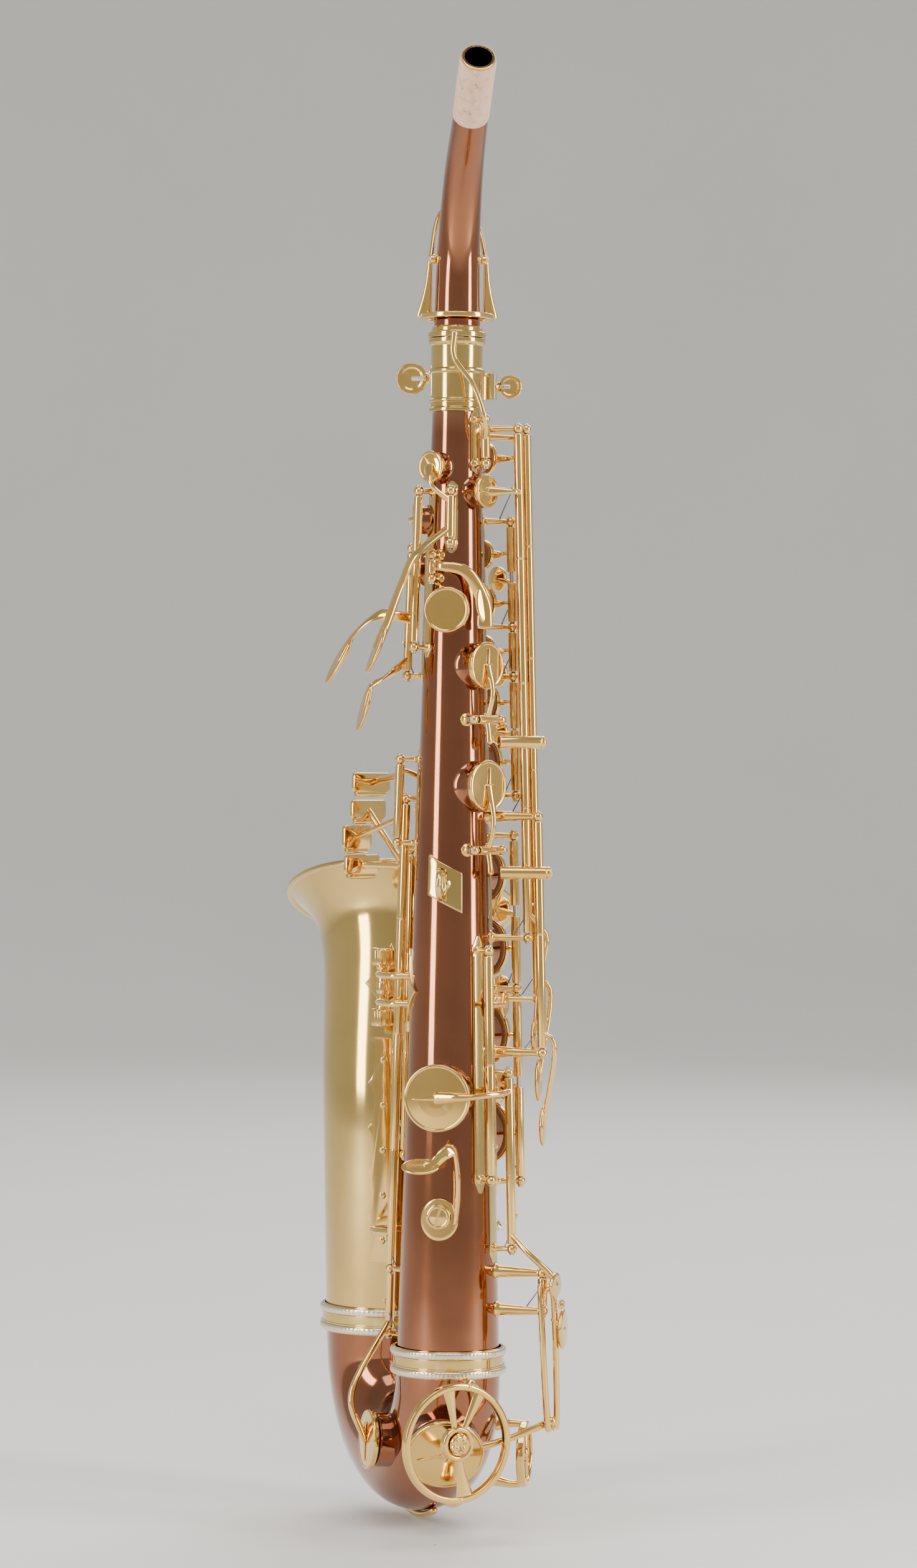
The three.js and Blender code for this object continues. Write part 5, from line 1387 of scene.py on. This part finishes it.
def thumb_hook():
    z = HOOK_Z
    r = tube_radius(z)
    piece = Piece()
    outline = [(9 * math.cos(math.tau * i / 48),
                -1.5 + 10.5 * math.sin(math.tau * i / 48)) for i in range(48)]
    wrapped_plate(piece, outline, 0, z, 0.3, 2.3, gold)

    def lip(x, reach, up):
        return at(0, r + reach, z + up) + Vector((x, 0, 0))
    piece.sweep([lip(8.3, 1.6, -3), lip(10, 4, 12), lip(10.4, 8, 25), lip(9.4, 13, 34),
                 lip(6, 17.5, 33), lip(2, 20.5, 29), lip(-3, 22, 26.5)],
                lambda t: (2.3 + 1.1 * math.sin(math.pi * min(1, t * 1.1)), 0.95), gold,
                normal=Vector((1, -0.35, 0.6)), count=10)
    piece.pad_shape(lip(-5.5, 22, 26.5), RIGHT, Vector((0, -0.6, 0.8)), (9.5, 5.6, 1.5), gold,
                    dish=0.7)
    piece.make("thumb_hook_piece", "root", "thumb_hook")
    face = r + 0.3 + 1.6 + 0.8
    screw = Piece()
    screw.lathe([(0, 0), (6.3, 0), (6.3, 1.5), (5.9, 2.2), (5.0, 2.5), (4.4, 2.2), (3.9, 2.3),
                 (0, 2.9)],
                at(0, face + 0.3, z), out(0), gold, 96, 0.3,
                ridges=milling(0.12, 0.2, 1.6))
    cut = Piece()
    cut.slab(oblong(0.65, 9), 4, at(0, face + 1.7, z), out(0),
             Vector((0.3, 0, 1)).normalized(), gold, 0.02)
    screw.make("hook_screw_piece", "hook_screw", "hook_screw", cut=cut)


def bell_skin(z):
    return bell_radius((z - BELL_SIDE_Z) / BELL_LENGTH)


def bell_spot(z):
    return bell_place((z - BELL_SIDE_Z) / BELL_LENGTH)[0]


def bell_centre(z):
    point = bell_spot(z)
    return Vector((point.x, point.y, 0))


def diamond_on(piece, centre_at, radius_at, az, z, height, width, material):
    """A diamond wrapped round a tube whose axis passes centre_at(z)."""
    rings = []
    for scale, lift in ((1, 0.1), (1, 1.1), (0.97, 1.4), (0.75, 1.45), (0.5, 1.45),
                        (0.25, 1.45), (0.02, 1.45)):
        ring = []
        for x, y in diamond(height, width):
            r = radius_at(z + y * scale) + lift
            turn = az + math.degrees(x * scale / radius_at(z))
            ring.append(centre_at(z + y * scale) + out(turn) * r + UP * (z + y * scale))
        rings.append(ring)
    piece.skin(rings, material)


def bell_brace():
    z, pin = BRACE_Z, BRACE_PIN
    tube_az, bell_az = BRACE_TUBE_AZ, BRACE_BELL_AZ
    piece = Piece()
    diamond_on(piece, lambda height: AXIS, tube_radius, tube_az, z, 42, 28, gold)
    diamond_on(piece, bell_centre, bell_skin, bell_az, z, 42, 26, gold)
    for up in (-7, 7):
        level = UP * (z + up)
        bell_foot = bell_centre(z + up) + out(bell_az) * (bell_skin(z + up) + 1) + level
        piece.sweep([on(tube_az, 0.8, z + up), Vector((-30, 24.8, z + up)),
                     Vector((-38.2, 35, z + up)), Vector((pin.x, pin.y, z + up)), bell_foot],
                    lambda t: (3.0 - 1.0 * math.sin(math.pi * t),
                               2.0 - 0.3 * math.sin(math.pi * t)),
                    gold, normal=UP)
    piece.lathe([(0, -12), (3.4, -12), (3.4, -10), (2.9, -9), (2.9, -3), (3.4, -2), (3.4, 2),
                 (2.9, 3), (2.9, 9), (3.4, 10), (3.4, 12), (0, 12)], pin, UP, gold, 40, 0.4)

    def lobes(i, h):
        return -0.55 * (0.5 - 0.5 * math.cos(math.tau * i / 12)) * (abs(h) < 3.6)
    for up in (-15.5, 15.5):
        piece.lathe([(0, -4.5), (4.4, -4.5), (5.2, -4.2), (6.0, -3.2), (6.0, 3.2), (5.2, 4.2),
                     (4.4, 4.5), (0, 4.5)], pin + UP * up, UP, gold, 144, 0.3, ridges=lobes)
    piece.make("brace", "root", "bell_brace")


def bell_key_guard():
    piece = Piece()
    z, n = KEY_GUARD_Z, out(KEY_GUARD_AZ)
    centre = bell_spot(z)
    face = Vector((centre.x, centre.y, z)) + n * (bell_skin(z) + 7)
    half, right, pitch = 58, 6.5, 116 / 5
    outline = [(right - 2, half), (right - 0.6, half - 0.6), (right, half - 3), (right, 3 - half),
               (right - 0.6, 0.6 - half), (right - 2, -half)]
    for i in range(5):
        low = i * pitch - half
        for k in range(10):
            t = k / 10
            bite = 4 * t * (1 - t)
            outline.append((-right + 1 + 3.2 * bite ** 0.7, low + pitch * t))
    outline.append((-right + 1, half))
    piece.slab(outline, 1.4, face, n, UP, gold, 0.35)
    x = UP.cross(n).normalized()
    for i in range(5):
        stud = face + UP * (i * pitch - half + pitch / 2) + x * 2.4 + n * 1.3
        piece.lathe([(0, 0), (1.9, 0), (1.9, 0.5), (1.2, 0.9), (0, 1.0)], stud, n, gold, 32, 0.2)
    for up in (-50, 0, 50):
        foot = bell_spot(z + up) + n * (bell_skin(z + up) - 0.3) + RIGHT * 2.5
        top = face + UP * up + RIGHT * 2.5 + n * 0.4
        length = (top - foot).length
        piece.lathe([(0, 0), (4.4, 0), (3.2, 0.9), (1.9, 2.0), (1.8, length), (0, length)],
                    foot, top - foot, gold, 32, 0.4)
    piece.make("bell_guard", "root", "bell_key_guard")


def ring_guard(piece, centre, normal, radius):
    piece.lathe([(radius - 1.7, -0.6), (radius - 0.9, -1), (radius + 1.2, -1), (radius + 1.7, -0.4),
                 (radius + 1.5, 2.6), (radius + 0.6, 3), (radius - 1.2, 3), (radius - 1.7, 2.4),
                 (radius - 1.7, -0.6)], centre, normal, gold, 96, 0.3)


def blade(piece, centre, x, y, normal, angle, inner, outer, start, end):
    """A spoke that widens from the hub to the ring."""
    a = math.radians(angle)
    heading = x * math.cos(a) + y * math.sin(a)
    piece.sweep([centre + heading * inner, centre + heading * (inner + outer) / 2,
                 centre + heading * outer],
                lambda t: (start + (end - start) * t ** 1.5, 0.95), gold, normal=normal)


def low_c_guard():
    n, x = out(C_GUARD_AZ), along(C_GUARD_AZ)
    centre = LOW_C[0] + n * 49 - x * 20 + Vector((0, 0, -7))
    piece = Piece()
    ring_guard(piece, centre, n, 28)
    piece.lathe([(5.8, -0.5), (8.1, -0.5), (8.6, 0), (8.6, 3.2), (7.9, 4), (6.6, 4), (5.8, 3.4),
                 (5.8, -0.5)],
                centre, n, gold, 64, 0.3)
    middle = centre + n * 1.3
    for angle, wide in ((62, 3.4), (100, 3.4), (-80, 5.2)):
        blade(piece, middle, x, UP, n, angle, 7.6, 27.4, 1.5, wide)

    def spot(angle, r, lift):
        a = math.radians(angle)
        return centre + x * r * math.cos(a) + UP * r * math.sin(a) + n * lift
    root = LOW_C[0] + out(34) * 35
    root.z = -249
    for path in ([spot(78, 28, 1), spot(78, 28, 1).lerp(root, 0.5) + UP * 1.5, root],
                 [spot(-86, 28, 1), spot(-84, 31, -7), spot(-80, 32, -16)]):
        piece.sweep(path, lambda t: (2.6 + 1.2 * t, 2.2), gold, normal=UP)
    piece.make("low_c_ring_guard", "root", "low_c_guard")

    def notches(i, h):
        return -0.75 * (0.5 + 0.5 * math.cos(math.tau * i / 24)) ** 3 * (h > 4.3)
    knob = Piece()
    knob.rod(centre - n * 3, centre - n * 0.2, 5.2, felt, sides=48, edge=0.6)
    knob.lathe([(0, -0.4), (5.4, -0.4), (5.4, 4.6), (4.9, 5.4), (4.2, 5.7), (0, 5.2)], centre, n,
               gold, 96, 0.3, ridges=notches)
    for k in range(4):
        a = math.tau * (k + 0.5) / 4
        knob.lathe([(0, 5.0), (1.5, 5.0), (1.3, 5.6), (0.7, 5.95), (0, 6)],
                   centre + (x * math.cos(a) + UP * math.sin(a)) * 2.6, n, gold, 28, 0.2)
    knob.make("low_c_bumper", "root", "low_c_felt")


def bow_side_guard():
    n, x = out(SIDE_GUARD_AZ), along(SIDE_GUARD_AZ)
    start = bow_place(0.26)[0]
    centre = start + n * 44
    centre.z = SIDE_GUARD_Z
    piece = Piece()
    ring_guard(piece, centre, n, 15)
    piece.lathe([(0, -0.3), (4.0, -0.3), (4.0, 2.4), (3.4, 3), (2.4, 3), (2.0, 2.6), (0, 2.7)],
                centre, n, gold, 48, 0.3)
    for angle in (60, -60, 180):
        blade(piece, centre + n * 1.3, x, UP, n, angle, 3, 14.6, 1.3, 2.6)
    for turn in (1, -1):
        foot = start + n * 31
        foot.z = SIDE_GUARD_Z + 14 * turn
        top = centre + Vector((1, 0, 15 * turn))
        piece.sweep([top, top.lerp(foot, 0.5) + UP * turn * 0.8, foot],
                    lambda t: (1.9 + t * t * 1.4, 1.8 + t * t), gold, normal=UP)
    piece.make("side_guard", "root", "bow_side_guard")


def bow_strip():
    path = []
    for i in range(9):
        point, heading, _ = bow_place(0.36 + 0.2 * i / 8)
        down = heading.cross(along(BELL_AZ))
        if down.z > 0:
            down = -down
        path.append(point + down * (bow_radius(0.36 + 0.2 * i / 8) + 2.0))
    piece = Piece()
    piece.sweep(path, lambda t: (2.2, 1.9), gold, normal=DOWN, sides=20, count=4)
    piece.make("bow_wear_strip", "root", "bow_strip")


def roller_eflat():
    low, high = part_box("roller_eflat")
    piece = Piece()
    piece.lathe([(0, -6), (1.5, -6), (1.75, -5.4), (1.75, 5.4), (1.5, 6), (0, 6)],
                (Vector(low) + Vector(high)) / 2 / MM, out(ROLLER_AZ), gold, 40, 0.3)
    piece.make("flat_roller", "roller_eflat", "roller_eflat")


strap_ring()
thumb_rest()
thumb_hook()
bell_brace()
bell_key_guard()
low_c_guard()
bow_side_guard()
bow_strip()
roller_eflat()


# ---- studio: pale floor and backdrop, soft boxes left, right and above ----
def studio():
    floor_z = CAD_BOX[0][2] - 0.0006
    radius, cove, height = 4.6, 1.2, 4.2
    line = [(0.001, 0), (0.8, 0), (radius - cove, 0)]
    line += [(radius - cove + cove * math.sin(math.radians(a)),
              cove - cove * math.cos(math.radians(a)))
             for a in range(9, 91, 9)]
    line.append((radius, height))
    rings = [[Vector((r * math.sin(math.tau * i / 96), r * math.cos(math.tau * i / 96),
                      floor_z + rise)) / MM
              for i in range(96)] for r, rise in line]
    sweep = Piece()
    paper = patterned("pale_paper", (0.75,), "Noise", 3.0, "Fac", [
        (0.3, tuple(c * 0.97 for c in PAPER)), (0.7, PAPER)], Detail=3.0)
    sweep.skin(rings, paper)
    mesh = bpy.data.meshes.new("floor")
    mesh.from_pydata([p * MM for p in sweep.verts], [], sweep.faces)
    mesh.materials.append(sweep.materials[0])
    for face in mesh.polygons:
        face.use_smooth = True
    mesh.flip_normals()
    linked(bpy.data.objects.new("floor", mesh))

    def soft_box(name, az, distance, height, size, watts, tint=(1, 0.97, 0.93)):
        lamp = bpy.data.lights.new(name, "AREA")
        lamp.shape = "RECTANGLE"
        lamp.size, lamp.size_y = size
        lamp.energy = watts
        lamp.color = tint
        holder = linked(bpy.data.objects.new(name, lamp))
        holder.location = out(az) * distance + Vector((0, 0, height))
        target = Vector((0, 0.03, 0.04))
        holder.rotation_euler = (target - holder.location).to_track_quat("-Z", "Y").to_euler()
    soft_box("left_box", -44, 1.5, 0.44, (0.42, 1.2), 22)
    soft_box("right_box", 80, 1.4, 0.44, (0.36, 1.2), 22)
    soft_box("top_box", 10, 1.2, 2.1, (1.8, 1.4), 30)
    soft_box("back_box", 170, 2.4, 1.7, (2.0, 1.2), 44)
    soft_box("wall_box", 191, 2.2, 3.4, (3.0, 1.0), 60)
    world = bpy.data.worlds.new("studio")
    world.use_nodes = True
    world.node_tree.nodes["Background"].inputs["Color"].default_value = (0.42, 0.42, 0.42, 1)
    world.node_tree.nodes["Background"].inputs["Strength"].default_value = 1.0
    bpy.context.scene.world = world


studio()
bpy.context.view_layer.update()
